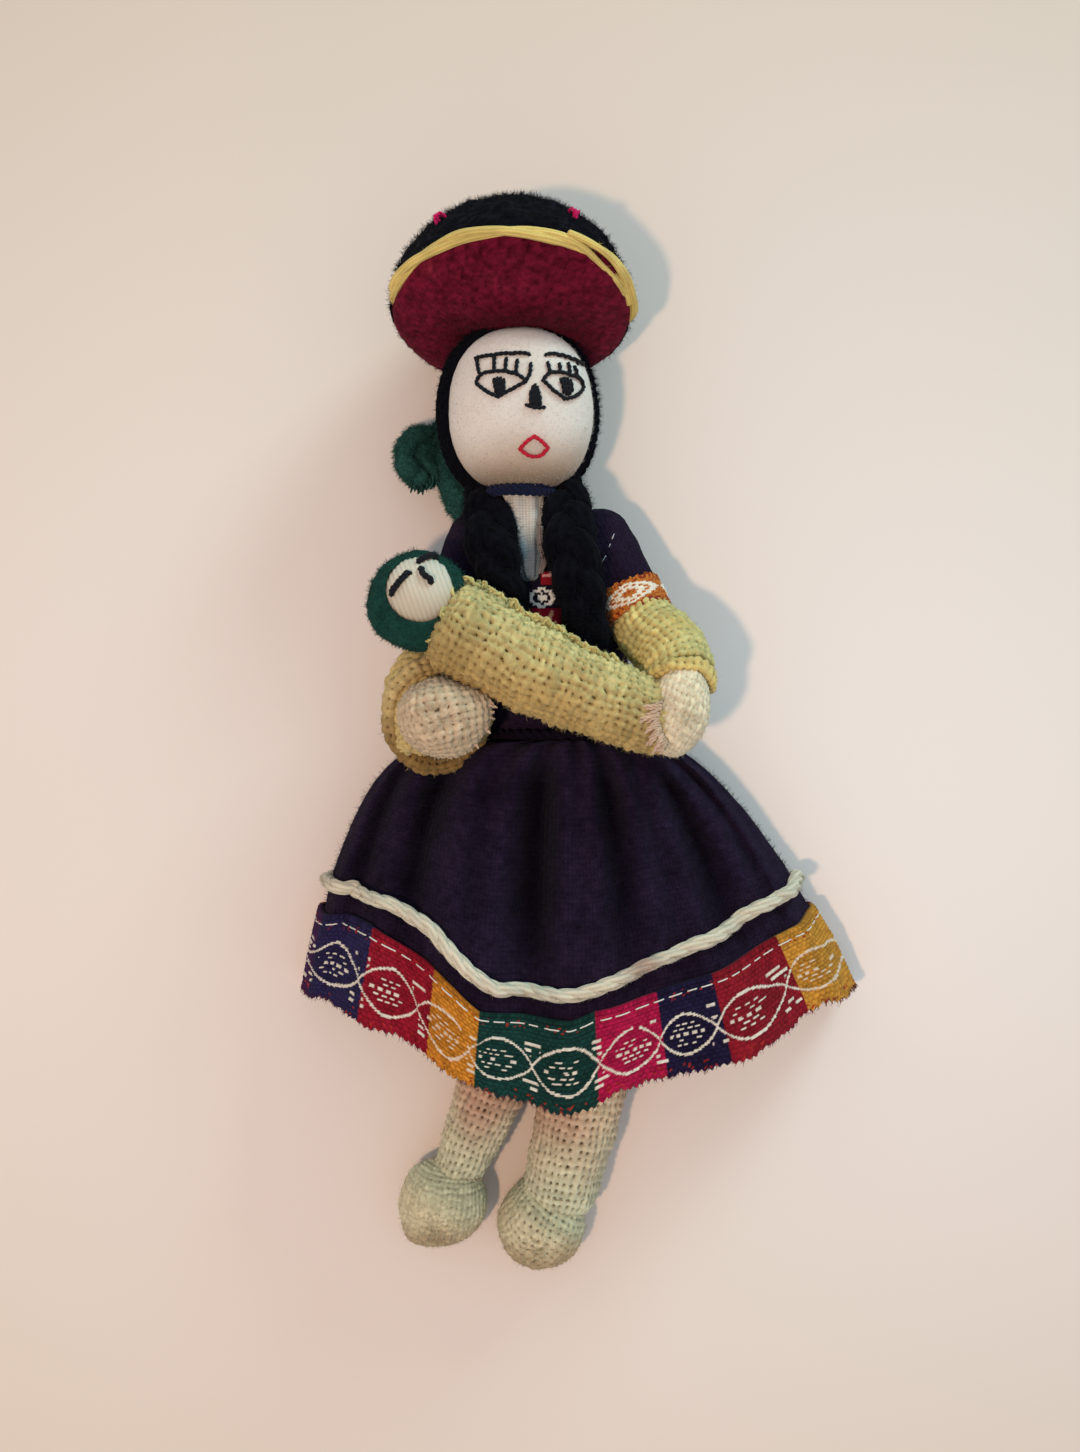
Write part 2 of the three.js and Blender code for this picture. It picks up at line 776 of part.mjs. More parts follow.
// Makes the pieces of one arm from its shoulder, elbow and wrist.
function armShapes(side, shoulderReach, elbow, wrist, bow, lowerRadius) {
  const shoulder = [torsoLine(0.02) + side * shoulderReach, shoulderLine[1], shoulderLine[2]];
  const elbowAt = vec(elbow);
  const cuffDirection = elbowAt.clone().sub(vec(shoulder)).normalize();
  const cuffStart = elbowAt.clone().addScaledVector(cuffDirection, -cuffLength);
  const sleeve = softForm(
    [
      [...shoulder, sleeveRadius],
      [...vec(shoulder).lerp(cuffStart, 0.5).toArray(), sleeveRadius * 1.02],
      [...cuffStart.toArray(), sleeveRadius * 0.92],
    ],
    { sides: 10, steps: 3, roundness: 0.95 },
  );
  const cuffRadius = sleeveRadius * 0.92;
  const cuffRun = (radius, reach) =>
    softForm(
      [
        [...cuffStart.clone().addScaledVector(cuffDirection, -reach).toArray(), radius],
        [...elbowAt.clone().addScaledVector(cuffDirection, reach).toArray(), radius],
      ],
      { sides: 12, steps: 1, roundness: 0.05, capAngles: [] },
    );
  const cuff = (grow) => {
    const bore = cuffRun(cuffRadius - cuffWall - grow, cuffLength / 2);
    return cuffRun(cuffRadius + grow, grow)(0).subtract(bore(0));
  };
  const wristAt = vec(wrist);
  const forearmStart = elbowAt.clone().addScaledVector(cuffDirection, -cuffLength * 0.55);
  const inner = cuffRadius - cuffWall - clearance;
  const bowed = elbowAt.clone().lerp(wristAt, 0.6);
  bowed.x += side * bow;
  const forearm = softForm(
    [
      [...forearmStart.toArray(), inner],
      [...elbowAt.clone().lerp(wristAt, 0.18).toArray(), inner],
      [...bowed.toArray(), lowerRadius],
      [...wristAt.toArray(), lowerRadius * 0.96],
    ],
    { sides: 10, steps: 6, roundness: 0.6 },
  );
  return { sleeve, cuff, forearm };
}

const leftArm = armShapes(1, leftShoulderOut, leftElbow, leftWrist, leftForearmBow, forearmRadius);
const rightArm = armShapes(-1, rightShoulderOut, rightElbow, rightWrist, rightForearmBow, rightForearmRadius);

// Each hand lies over an end of the bundle.
const leftHandShape = ball(
  leftWrist.map((value, i) => value + leftHandFromWrist[i]),
  handHalfWidth,
  handHalfLength,
  handHalfDepth,
  { across: 12, up: 8, turn: leftHandTurn },
);
const rightHandShape = ball(
  rightWrist.map((value, i) => value + rightHandFromWrist[i]),
  rightHandHalfWidth,
  rightHandHalfHeight,
  rightHandHalfDepth,
  { across: 12, up: 8, turn: rightHandTurn },
);

// Baby

function alongBundle(share) {
  return vec(bundleHeadEnd).lerp(vec(bundleFootEnd), share).toArray();
}

const bundleShape = softForm(
  [
    [...bundleHeadEnd, bundleHalfWidth, bundleHalfDepth],
    [...alongBundle(0.35), bundleHalfWidth * 0.95, bundleHalfDepth],
    [...alongBundle(0.7), bundleFootHalfWidth * 1.06, bundleHalfDepth * 0.94],
    [...bundleFootEnd, bundleFootHalfWidth, bundleHalfDepth * 0.88],
  ],
  { sides: 12, steps: 7, roundness: 0.7 },
);
const bundleDirection = vec(bundleHeadEnd).sub(vec(bundleFootEnd)).normalize();

function bundleCover() {
  const mouthSize = bundleHalfDepth * 0.4;
  const mouthFar = vec(bundleHeadEnd).addScaledVector(bundleDirection, bundleHalfWidth);
  const mouth = softForm(
    [
      [...bundleHeadEnd, mouthSize],
      [...mouthFar.toArray(), mouthSize],
    ],
    { steps: 1, sides: 8, roundness: 0.1 },
  );
  return bundleShape(0).subtract(bundleShape(-clothWall)).subtract(mouth(0));
}

const babyHeadAt = vec(bundleHeadEnd).addScaledVector(bundleDirection, babyHeadReach);
babyHeadAt.y += babyHeadRise;
const roundHead = { across: 14, up: 9 };
const babyHeadShape = ball(babyHeadAt.toArray(), babyHeadRadius, babyHeadRadius, babyHeadRadius, roundHead);

function bundleStuffing() {
  return bundleShape(-inside).subtract(babyHeadShape(inside));
}

function hoodShape(grow) {
  const centre = [babyHeadAt.x - 0.5, babyHeadAt.y - hoodDrop, babyHeadAt.z - 0.8];
  const reach = babyHeadRadius + clearance + hoodWall;
  const outer = ball(centre, reach, reach + hoodDrop * 0.5, babyHeadRadius + hoodWall, { across: 14, up: 8 });
  const openFace = ball(
    [babyHeadAt.x, babyHeadAt.y + babyFaceRise, babyHeadAt.z + babyHeadRadius],
    babyHeadRadius * 0.9,
    babyHeadRadius * 0.78,
    babyHeadRadius * 0.9,
    { across: 12, up: 7, turn: babyFaceTurn },
  );
  return outer(grow).subtract(babyHeadShape(clearance - grow)).subtract(openFace(-grow));
}

// The baby's face is three short stitches.
function babyStitchShape([across, rise, turn, halfLength]) {
  const lift = babyStitchRadius + clearance;
  const reach = babyHeadRadius + lift;
  const at = (end) => {
    const x = across + end * halfLength * Math.cos(radians(turn));
    const y = rise + end * halfLength * Math.sin(radians(turn));
    const z = Math.sqrt(reach * reach - x * x - y * y);
    return [babyHeadAt.x + x, babyHeadAt.y + y, babyHeadAt.z + z, babyStitchRadius];
  };
  return softForm([at(-1), at(0), at(1)], { sides: 6, steps: 4, roundness: 0.6, capAngles: [40] });
}

// Skirt

const waistCentre = [torsoWaist[0], torsoWaist[1] + skirtTopAboveWaist];
const skirtPoints = 60;
const restHeight = clearance + bandWall; // the hem band lies between the skirt and the table
const trimLift = 2 * trimYarnRadius + 1.7 * clearance; // the yarn stays just off the table
const trimSupport = 4.5; // how far from the yarn the cloth at the back still rises over it

// The skirt's length as it lies, for an angle round it. The front falls longest, and the hem rises to both sides.
function skirtLengthAt(angle) {
  const across = Math.cos(angle);
  const rise = Math.max(0, Math.sin(angle));
  const fall = across < 0 ? Math.pow(rise, 3.4) : rise > 0 ? 1 - Math.pow(across, 1.3) : 0;
  return lerp(skirtSideLength, skirtLength, fall);
}

// A point of the skirt's outer face. `share` runs from the waist to the hem, `angle` goes round.
function skirtPoint(share, angle) {
  const across = Math.cos(angle);
  const rise = Math.sin(angle);
  const startWidth = waistHalfWidth + bodiceWall + 2 * clearance + skirtWall;
  const width =
    across < 0
      ? lerp(startWidth, skirtRightHalfWidth, Math.pow(share, 0.26))
      : lerp(startWidth, skirtLeftHalfWidth, Math.pow(share, 0.52));
  const top = lerp(skirtWaistHeight, skirtHemHeight, Math.pow(share, 0.7));
  const length = skirtLengthAt(angle);
  const nearTrim = Math.exp(-Math.pow(((1 - share) * length - trimFromHem) / trimSupport, 2));
  const low = lerp(restHeight - pressedFlat * 0.6, trimLift, nearTrim);
  const sideHeight = skirtSideHeight + skirtSideRise * (1 - share);
  const foldSize = skirtFoldDepth * Math.pow(share, 0.6);
  const fold = Math.cos(skirtFolds * angle + 0.6 * Math.sin(3 * angle)) * foldSize;
  if (rise >= 0) {
    return new THREE.Vector3(
      waistCentre[0] + width * across,
      waistCentre[1] - length * share - fold * 0.3 * rise,
      lerp(low + sideHeight, top, Math.pow(rise, 0.85)) + fold * Math.min(1, 2 * rise),
    );
  }
  const dip = Math.pow(-rise, 0.4);
  return new THREE.Vector3(
    waistCentre[0] + width * across * (1 - 0.04 * (1 + rise) * -rise),
    waistCentre[1] - length * share,
    lerp(low + sideHeight, low, dip),
  );
}

// A ring of the skirt, moved out (or in, when negative) square to the cloth.
// `place` gives the share of the skirt's length for the length at an angle.
function skirtRing(place, offset) {
  const ring = [];
  for (let i = 0; i < skirtPoints; i++) {
    const angle = (2 * Math.PI * i) / skirtPoints;
    const pointAt = (a) => skirtPoint(place(skirtLengthAt(a)), a);
    const along = pointAt(angle + 0.03).sub(pointAt(angle - 0.03));
    const out = new THREE.Vector3(along.z, 0, -along.x).normalize();
    ring.push(pointAt(angle).addScaledVector(out, offset));
  }
  return ring;
}

const ofLength = (share) => () => share;
const fromHem = (distance) => (length) => 1 - distance / length;

// A layer of cloth that follows the skirt through the given places.
function skirtLayer(places, inner, outer, grow) {
  const last = places.length - 1;
  const grown = places.map((place, i) => {
    const reach = i === 0 ? -grow : i === last ? grow : 0;
    return (length) => Math.max(0, place(length) + reach / length);
  });
  const outside = grown.map((place) => skirtRing(place, outer + grow));
  const lining = grown.map((place) => skirtRing(place, inner - grow));
  return skin([...outside, ...lining.reverse()]);
}

const bandPlaces = [fromHem(bandWidth), fromHem(bandWidth * 0.6), fromHem(skirtHemInset), fromHem(0)];
const upperPlaces = [0, 0.08, 0.24, 0.44].map((share) => ofLength(share));
const skirtPlaces = [...upperPlaces, fromHem(trimFromHem), ...bandPlaces.slice(0, 3)];

function skirtShape(grow) {
  return skirtLayer(skirtPlaces, -skirtWall, 0, grow);
}

function bandShape(grow) {
  return skirtLayer(bandPlaces, clearance, clearance + bandWall, grow);
}

const trimRing = skirtRing(fromHem(trimFromHem), clearance + trimYarnRadius);
const trimShape = closedCord(trimRing, trimYarnRadius);

// The cord that gathers the skirt lies round the bodice, just above the skirt's edge.
const waistLean = Math.atan2(torsoWaist[0] - torsoTop[0], torsoTop[1] - torsoWaist[1]);
const waistCordPoints = [];
const waistCordCount = 20;
for (let i = 0; i < waistCordCount; i++) {
  const angle = (2 * Math.PI * i) / waistCordCount;
  const cloth = 2 * clearance + bodiceWall + waistCordRadius;
  waistCordPoints.push(
    new THREE.Vector3(
      torsoLine(0.96) + (waistHalfWidth / Math.cos(waistLean) + cloth) * Math.cos(angle),
      waistCentre[1] + clearance + waistCordRadius,
      torsoWaist[2] + (torsoHalfDepth + cloth) * Math.sin(angle),
    ),
  );
}
const waistCordShape = closedCord(waistCordPoints, waistCordRadius);

// Legs

// A leg is a stuffed tube from the hip to the ankle, and the foot is a ball sewn on at a seam.
function legShapes(side, knee, ankle, ankleRadius, footSideways) {
  const torsoEnd = torsoWaist[1] - torsoHalfDepth * torsoRoundness;
  const hip = [torsoWaist[0] + side * hipSpread * 0.5, torsoEnd - thighRadius - hipBelowTorso, hipHeight];
  const shape = softForm(
    [
      [...hip, thighRadius],
      [...vec(hip).lerp(vec(knee), 0.55).toArray(), thighRadius],
      [...knee, calfRadius],
      [...vec(knee).lerp(vec(ankle), 0.5).toArray(), lerp(calfRadius, ankleRadius, 0.4)],
      [...ankle, ankleRadius],
    ],
    { sides: 12, steps: 8, roundness: 0.9 },
  );
  const direction = vec(ankle).sub(vec(knee)).normalize();
  const footAt = vec(ankle)
    .addScaledVector(direction, footForward)
    .add(new THREE.Vector3(footSideways, 0, footHalfDepth - pressedFlat - ankle[2]));
  const turn = THREE.MathUtils.radToDeg(Math.atan2(direction.x, -direction.y));
  const fineness = { across: 14, up: 9, turn };
  const foot = ball(footAt.toArray(), footHalfWidth, footHalfLength, footHalfDepth, fineness);
  return { shape, foot };
}

const leftLeg = legShapes(1, leftKnee, leftAnkle, leftAnkleRadius, leftFootSideways);
const rightLeg = legShapes(-1, rightKnee, rightAnkle, rightAnkleRadius, rightFootSideways);

// Assembly

// The pieces in the order in which they keep their shape: a piece is cut by those before it that it meets.
// `outer` is the space that the piece takes up, and an `inner` piece keeps to its own cover.
// A piece that is `laidOn` others has its gap to them in its own shape. A `free` piece is left out of the cuts.
const pieces = [
  { name: 'head_cover', group: 'head', colour: colours.cream, make: headCover, outer: headShape },
  { name: 'head_stuffing', group: 'head', colour: colours.wool, make: headStuffing, inner: true },
  { name: 'torso_cover', group: 'torso', colour: colours.cream, make: torsoCover, outer: torsoShape },
  { name: 'torso_stuffing', group: 'torso', colour: colours.wool, make: torsoStuffing, inner: true },
  { name: 'hair_cap', group: 'head', colour: colours.black, make: hairShape, laidOn: ['head_cover'] },
  { name: 'hat_crown', group: 'head', colour: colours.black, make: crownShape },
  { name: 'hat_underside', group: 'head', colour: colours.wineRed, make: undersideShape },
  { name: 'hat_stuffing', group: 'head', colour: colours.wool, make: hatStuffingShape, inner: true },
  {
    name: 'hat_edge_yarn',
    group: 'head',
    colour: colours.yellow,
    make: hatEdgeShape,
    laidOn: ['hat_crown', 'hat_underside'],
  },
  { name: 'hat_stitch_left', group: 'head', colour: colours.pink, make: hatStitchShape(1) },
  { name: 'hat_stitch_right', group: 'head', colour: colours.pink, make: hatStitchShape(-1) },
  { name: 'brow_left', group: 'head', colour: colours.black, make: browShape(1), free: true },
  { name: 'brow_right', group: 'head', colour: colours.black, make: browShape(-1), free: true },
  { name: 'eye_left', group: 'head', colour: colours.black, make: eyeShape(1), free: true },
  { name: 'eye_right', group: 'head', colour: colours.black, make: eyeShape(-1), free: true },
  { name: 'nose', group: 'head', colour: colours.black, make: noseShape, free: true },
  { name: 'mouth', group: 'head', colour: colours.red, make: mouthShape, free: true },
  {
    name: 'neck_tie',
    group: 'neck',
    colour: colours.navy,
    make: neckTieShape,
    room: tieRoom,
    laidOn: ['head_cover'],
  },
  { name: 'bodice', group: 'torso', colour: colours.purple, make: bodiceShape, laidOn: ['torso_cover'] },
  { name: 'skirt', group: 'torso', colour: colours.purple, make: skirtShape },
  { name: 'skirt_trim_yarn', group: 'torso', colour: colours.white, make: trimShape, laidOn: ['skirt'] },
  {
    name: 'skirt_hem_band',
    group: 'torso',
    colour: colours.crimson,
    make: bandShape,
    laidOn: ['skirt', 'skirt_trim_yarn'],
  },
  { name: 'waist_cord', group: 'torso', colour: colours.navy, make: waistCordShape, laidOn: ['skirt'] },
  { name: 'baby_head', group: 'arms', colour: colours.cream, make: babyHeadShape },
  { name: 'baby_bundle', group: 'arms', colour: colours.mustard, make: bundleCover, outer: bundleShape },
  { name: 'baby_stuffing', group: 'arms', colour: colours.wool, make: bundleStuffing, inner: true },
  { name: 'baby_hood', group: 'arms', colour: colours.green, make: hoodShape, laidOn: ['baby_head'] },
  { name: 'hand_left', group: 'arms', colour: colours.hand, make: leftHandShape },
  { name: 'hand_right', group: 'arms', colour: colours.hand, make: rightHandShape },
  { name: 'braid_left', group: 'torso', colour: colours.black, make: braidShape(1), room: movingClearance },
  { name: 'braid_right', group: 'torso', colour: colours.black, make: braidShape(-1), room: movingClearance },
  {
    name: 'neck',
    group: 'torso',
    colour: colours.cream,
    make: neckShape,
    room: movingClearance,
    laidOn: ['neck_tie'],
  },
  {
    name: 'chest_panel',
    group: 'torso',
    colour: colours.crimson,
    make: panelShape,
    laidOn: ['bodice', 'torso_cover'],
  },
  { name: 'cuff_left', group: 'arms', colour: colours.orange, make: leftArm.cuff },
  { name: 'cuff_right', group: 'arms', colour: colours.orange, make: rightArm.cuff },
  { name: 'sleeve_left', group: 'arms', colour: colours.purple, make: leftArm.sleeve, room: movingClearance },
  {
    name: 'sleeve_right',
    group: 'arms',
    colour: colours.purple,
    make: rightArm.sleeve,
    room: movingClearance,
  },
  { name: 'forearm_left', group: 'arms', colour: colours.mustard, make: leftArm.forearm },
  { name: 'forearm_right', group: 'arms', colour: colours.mustard, make: rightArm.forearm },
  { name: 'shawl_knot', group: 'torso', colour: colours.green, make: shawlShape, room: movingClearance },
  { name: 'foot_left', group: 'leg_left', colour: colours.foot, make: leftLeg.foot },
  { name: 'foot_right', group: 'leg_right', colour: colours.foot, make: rightLeg.foot },
  { name: 'leg_left', group: 'leg_left', colour: colours.leg, make: leftLeg.shape, room: movingClearance },
  { name: 'leg_right', group: 'leg_right', colour: colours.leg, make: rightLeg.shape, room: movingClearance },
];
for (const [name, place] of Object.entries(babyStitches)) {
  pieces.push({ name, group: 'arms', colour: colours.black, make: babyStitchShape(place), free: true });
}

// True when two boxes of corners meet.
function boxesMeet(a, b) {
  return [0, 1, 2].every((i) => a.min[i] < b.max[i] && b.min[i] < a.max[i]);
}

// The angles at which an earlier piece has to be cut away, so that the arms can rise from the torso.
function liftsBetween(group, earlierGroup) {
  if (group === 'arms' && earlierGroup === 'torso') {
    return [0, armLift / 2, armLift];
  }
  if (group === 'torso' && earlierGroup === 'arms') {
    return [0, -armLift / 2, -armLift];
  }
  return [0];
}

// Keeps the largest of the bodies that a cut leaves.
function largest(solid) {
  const bodies = solid.decompose();
  bodies.sort((a, b) => b.volume() - a.volume());
  return bodies[0];
}

const doll = new THREE.Group();
doll.name = 'cloth_doll';
const groups = {};
const placed = [];
for (const piece of pieces) {
  let solid = piece.make(0);
  if (!['head', 'neck'].includes(piece.group) && !piece.inner) {
    const space = headRoom(movingClearance);
    if (boxesMeet(solid.boundingBox(), space.boundingBox())) {
      solid = solid.subtract(space);
    }
  }
  if (!piece.inner && !piece.free) {
    for (const earlier of placed.filter((other) => !piece.laidOn?.includes(other.name))) {
      const rooms = [piece.room ?? clearance, earlier.room ?? clearance];
      const apart = earlier.group === piece.group ? clearance : Math.max(...rooms);
      const space = (earlier.outer ?? earlier.make)(apart - fitSlack);
      for (const angle of liftsBetween(piece.group, earlier.group)) {
        const moved = angle === 0 ? space : tilted(space, shoulderLine, angle);
        if (boxesMeet(solid.boundingBox(), moved.boundingBox())) {
          solid = solid.subtract(moved);
        }
      }
    }
  }
  solid = largest(solid.trimByPlane([0, 0, 1], 0).simplify(facetSlack));
  if (!piece.inner && !piece.free) {
    placed.push(piece);
  }
  const mesh = solid.getMesh();
  const geometry = new THREE.BufferGeometry();
  geometry.setAttribute('position', new THREE.BufferAttribute(new Float32Array(mesh.vertProperties), 3));
  geometry.setIndex(new THREE.BufferAttribute(new Uint32Array(mesh.triVerts), 1));
  geometry.computeVertexNormals();
  const material = new THREE.MeshStandardMaterial({ color: piece.colour, roughness: 0.9, metalness: 0 });
  const node = new THREE.Mesh(geometry, material);
  node.name = piece.name;
  if (!groups[piece.group]) {
    groups[piece.group] = new THREE.Group();
    groups[piece.group].name = `${piece.group}_pieces`;
    doll.add(groups[piece.group]);
  }
  groups[piece.group].add(node);
}

// The part's origin is under the middle of its box, on the table.
const box = new THREE.Box3().setFromObject(doll);
const middle = box.getCenter(new THREE.Vector3());
doll.position.set(-middle.x, -middle.y, -box.min.z);
doll.updateMatrixWorld(true);

export default doll;
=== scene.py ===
import math

import bpy
import numpy as np
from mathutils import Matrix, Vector
from mathutils.bvhtree import BVHTree


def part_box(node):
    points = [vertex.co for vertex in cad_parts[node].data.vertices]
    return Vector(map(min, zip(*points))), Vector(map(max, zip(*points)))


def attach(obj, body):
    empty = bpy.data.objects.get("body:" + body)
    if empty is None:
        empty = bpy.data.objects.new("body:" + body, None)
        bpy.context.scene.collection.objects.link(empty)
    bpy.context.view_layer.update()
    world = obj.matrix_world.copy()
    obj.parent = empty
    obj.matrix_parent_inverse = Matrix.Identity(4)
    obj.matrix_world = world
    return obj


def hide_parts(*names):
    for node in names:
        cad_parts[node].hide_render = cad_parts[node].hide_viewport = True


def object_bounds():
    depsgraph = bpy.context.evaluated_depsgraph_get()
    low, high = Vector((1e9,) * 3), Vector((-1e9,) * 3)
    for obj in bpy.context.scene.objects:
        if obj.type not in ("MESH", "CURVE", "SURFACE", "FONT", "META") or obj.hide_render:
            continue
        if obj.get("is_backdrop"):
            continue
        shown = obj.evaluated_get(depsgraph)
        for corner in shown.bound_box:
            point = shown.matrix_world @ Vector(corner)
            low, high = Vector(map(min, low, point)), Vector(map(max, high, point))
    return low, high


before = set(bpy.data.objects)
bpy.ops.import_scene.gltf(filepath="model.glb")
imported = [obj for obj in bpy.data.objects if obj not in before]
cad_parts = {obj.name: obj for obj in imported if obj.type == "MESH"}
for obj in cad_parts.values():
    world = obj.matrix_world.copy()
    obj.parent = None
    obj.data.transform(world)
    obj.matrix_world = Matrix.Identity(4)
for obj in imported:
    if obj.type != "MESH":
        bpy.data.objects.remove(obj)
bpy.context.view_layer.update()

# The looks of a hand-sewn cloth doll that lies on its back and holds a wrapped baby.
# Shapes are worked out in millimetres, in the axes in which the solids were drawn, and moved to the part's frame.
# Faces look up, +Z, and the doll's left is +X.

MM = 0.001
ABOVE_TABLE = 0.03 * MM  # nothing reaches into the table
THIRD_TURN = 2.0944  # radians

HEAD = np.array([-9.2, 58.7, 20.2])
HEAD_SIZE = np.array([13.2, 14.9, 13.2])
head_low, head_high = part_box("head_cover")
OFFSET = np.array([(head_low.x + head_high.x) / 2 / MM - HEAD[0], head_high.y / MM - HEAD[1] - HEAD_SIZE[1], 0.0])

# Camera

PHOTO_W, PHOTO_H = 1080, 1452
FOCAL_PX = 1539.0
EYE = np.array([-5.6, 1.7, 300.0])
SENSOR = 36.0

camera_data = bpy.data.cameras.new("camera")
camera_data.sensor_width = SENSOR
camera_data.lens = FOCAL_PX / PHOTO_H * SENSOR
camera_data.clip_start = 0.01
camera = bpy.data.objects.new("camera", camera_data)
bpy.context.scene.collection.objects.link(camera)
CAMERA_AT = Vector((EYE + OFFSET) * MM)
camera.location = CAMERA_AT
bpy.context.scene.camera = camera


def ray(u, v):
    """The direction from the camera through a pixel of the photograph."""
    d = np.array([(u - PHOTO_W / 2) / FOCAL_PX, -(v - PHOTO_H / 2) / FOCAL_PX, -1.0])
    return d / np.linalg.norm(d)


def pixel_of(P):
    """The photograph's pixel for points in millimetres."""
    depth = EYE[2] - P[..., 2]
    u = PHOTO_W / 2 + (P[..., 0] - EYE[0]) * FOCAL_PX / depth
    v = PHOTO_H / 2 - (P[..., 1] - EYE[1]) * FOCAL_PX / depth
    return u, v


def at_pixel(u, v, z):
    """The point under a pixel, at a height."""
    s = (EYE[2] - z) / FOCAL_PX
    return np.array([EYE[0] + (u - PHOTO_W / 2) * s, EYE[1] - (v - PHOTO_H / 2) * s, z])


# Numbers

LATTICE = np.random.default_rng(11).random((32, 32, 32))


def noise3(P, size, seed=0):
    """Smooth noise from -1 to 1, with features about `size` millimetres across."""
    Q = np.asarray(P, float) / size + 13.7 * seed + 5.3
    cell = np.floor(Q).astype(int)
    f = Q - cell
    f = f * f * (3 - 2 * f)
    total = np.zeros(Q.shape[:-1])
    for dx in (0, 1):
        for dy in (0, 1):
            for dz in (0, 1):
                share = (f[..., 0] if dx else 1 - f[..., 0]) * (f[..., 1] if dy else 1 - f[..., 1])
                share = share * (f[..., 2] if dz else 1 - f[..., 2])
                corner = (cell[..., 0] + dx) % 32, (cell[..., 1] + dy) % 32, (cell[..., 2] + dz) % 32
                total += share * LATTICE[corner]
    return 2 * total - 1


def fractal(P, size, seed=0, octaves=3):
    """Noise with finer noise upon it."""
    scales = 0.5 ** np.arange(octaves)
    return sum(noise3(P, size * scale, seed + k) * scale for k, scale in enumerate(scales)) / scales.sum()


def noise1(s, size, seed, row=0.0):
    """Smooth noise along a line, for places in millimetres. Each row has its own."""
    s = np.asarray(s, float)
    return noise3(np.stack([s, np.full(len(s), row), 0 * s], 1), size, seed)


def jitter(P, size, seeds):
    """Smooth noise in x, y and z for each point of a line."""
    return np.stack([noise3(P, size, seed) for seed in seeds], 1)


def random_of(i, seed=0):
    """A fixed random number from 0 to 1 for each whole number."""
    x = np.sin(np.asarray(i, float) * 127.1 + seed * 311.7 + 1.3) * 43758.5453
    return x - np.floor(x)


def smooth(low, high, x):
    """Rises from 0 at `low` to 1 at `high`."""
    t = np.clip((np.asarray(x, float) - low) / (high - low), 0, 1)
    return t * t * (3 - 2 * t)


def mix(a, b, t):
    """From a, where t is 0, to b, where it is 1."""
    return a + (b - a) * t


def unit(v):
    """The same directions with a length of 1."""
    return v / np.maximum(np.linalg.norm(v, axis=-1, keepdims=True), 1e-9)


def linear(hexcode):
    """A colour as written, such as 'd8cdb4', as linear light."""
    c = np.array([int(hexcode[i : i + 2], 16) / 255 for i in (0, 2, 4)])
    return np.where(c <= 0.04045, c / 12.92, ((c + 0.055) / 1.055) ** 2.4)


def circle(count):
    """Angles spaced evenly round a circle."""
    return 2 * np.pi * np.arange(count) / count


def path_lengths(path):
    """How far along a line each of its points lies."""
    return np.concatenate([[0], np.cumsum(np.linalg.norm(np.diff(path, axis=0), axis=1))])


def row_lengths(P):
    """How far along a grid each of its rows lies."""
    return np.concatenate([[0], np.cumsum(np.linalg.norm(np.diff(P, axis=0), axis=2).mean(1))])


def cubic(a, b, c, d, t):
    """A smooth curve from b to c, with a before them and d after them."""
    return 0.5 * (2 * b + (c - a) * t + (2 * a - 5 * b + 4 * c - d) * t**2 + (3 * b - a - 3 * c + d) * t**3)


def spline(points, count):
    """A smooth curve through the points, with `count` points spaced evenly along it."""
    p = np.asarray(points, float)
    ext = np.concatenate([2 * p[:1] - p[1:2], p, 2 * p[-1:] - p[-2:-1]])
    t = np.linspace(0, 1, 24, endpoint=False)[:, None]
    return resample(np.concatenate([*(cubic(*ext[i : i + 4], t) for i in range(len(p) - 1)), p[-1:]]), count)


def resample(path, count, closed=False):
    """The same line with evenly spaced points. A closed line ends at its first point, which is left out there."""
    s = path_lengths(path[:, :3])
    at = np.linspace(0, s[-1], count + 1)[:-1] if closed else np.linspace(0, s[-1], count)
    return np.stack([np.interp(at, s, path[:, k]) for k in range(path.shape[1])], axis=1)


# Meshes


class Mesh:
    """Collects vertices and faces, with a UV in millimetres and a colour, and makes one object of them."""

    def __init__(self):
        self.verts, self.faces, self.uvs, self.colours, self.count = [], [], [], [], 0

    def add(self, verts, faces, colours, uvs=None):
        self.verts.append(verts)
        self.faces += [f + self.count for f in faces]
        self.uvs += uvs or [np.zeros(f.shape + (2,)) for f in faces]
        self.colours.append(colours)
        self.count += len(verts)

    def object(self, name, material):
        V = (np.concatenate(self.verts) + OFFSET) * MM
        V[:, 2] = np.maximum(V[:, 2], ABOVE_TABLE)
        loops = np.concatenate([f.ravel() for f in self.faces])
        sizes = np.concatenate([np.full(len(f), f.shape[1]) for f in self.faces])
        mesh = bpy.data.meshes.new(name)
        mesh.vertices.add(len(V))
        mesh.vertices.foreach_set("co", V.ravel())
        mesh.loops.add(len(loops))
        mesh.polygons.add(len(sizes))
        starts = np.concatenate([[0], np.cumsum(sizes)[:-1]])
        mesh.polygons.foreach_set("loop_start", starts.astype(np.int32))
        mesh.polygons.foreach_set("vertices", loops.astype(np.int32))
        mesh.update(calc_edges=True)
        mesh.validate()
        layer = mesh.uv_layers.new(name="UVMap")
        layer.data.foreach_set("uv", np.concatenate([u.reshape(-1, 2) for u in self.uvs]).ravel())
        colours = np.concatenate(self.colours)
        rgba = np.concatenate([colours, np.ones((len(colours), 1))], axis=1)
        attribute = mesh.color_attributes.new("Col", "FLOAT_COLOR", "POINT")
        attribute.data.foreach_set("color", rgba.ravel())
        mesh.polygons.foreach_set("use_smooth", np.ones(len(sizes), bool))
        mesh.materials.append(material)
        made = bpy.data.objects.new(name, mesh)
        bpy.context.scene.collection.objects.link(made)
        return made


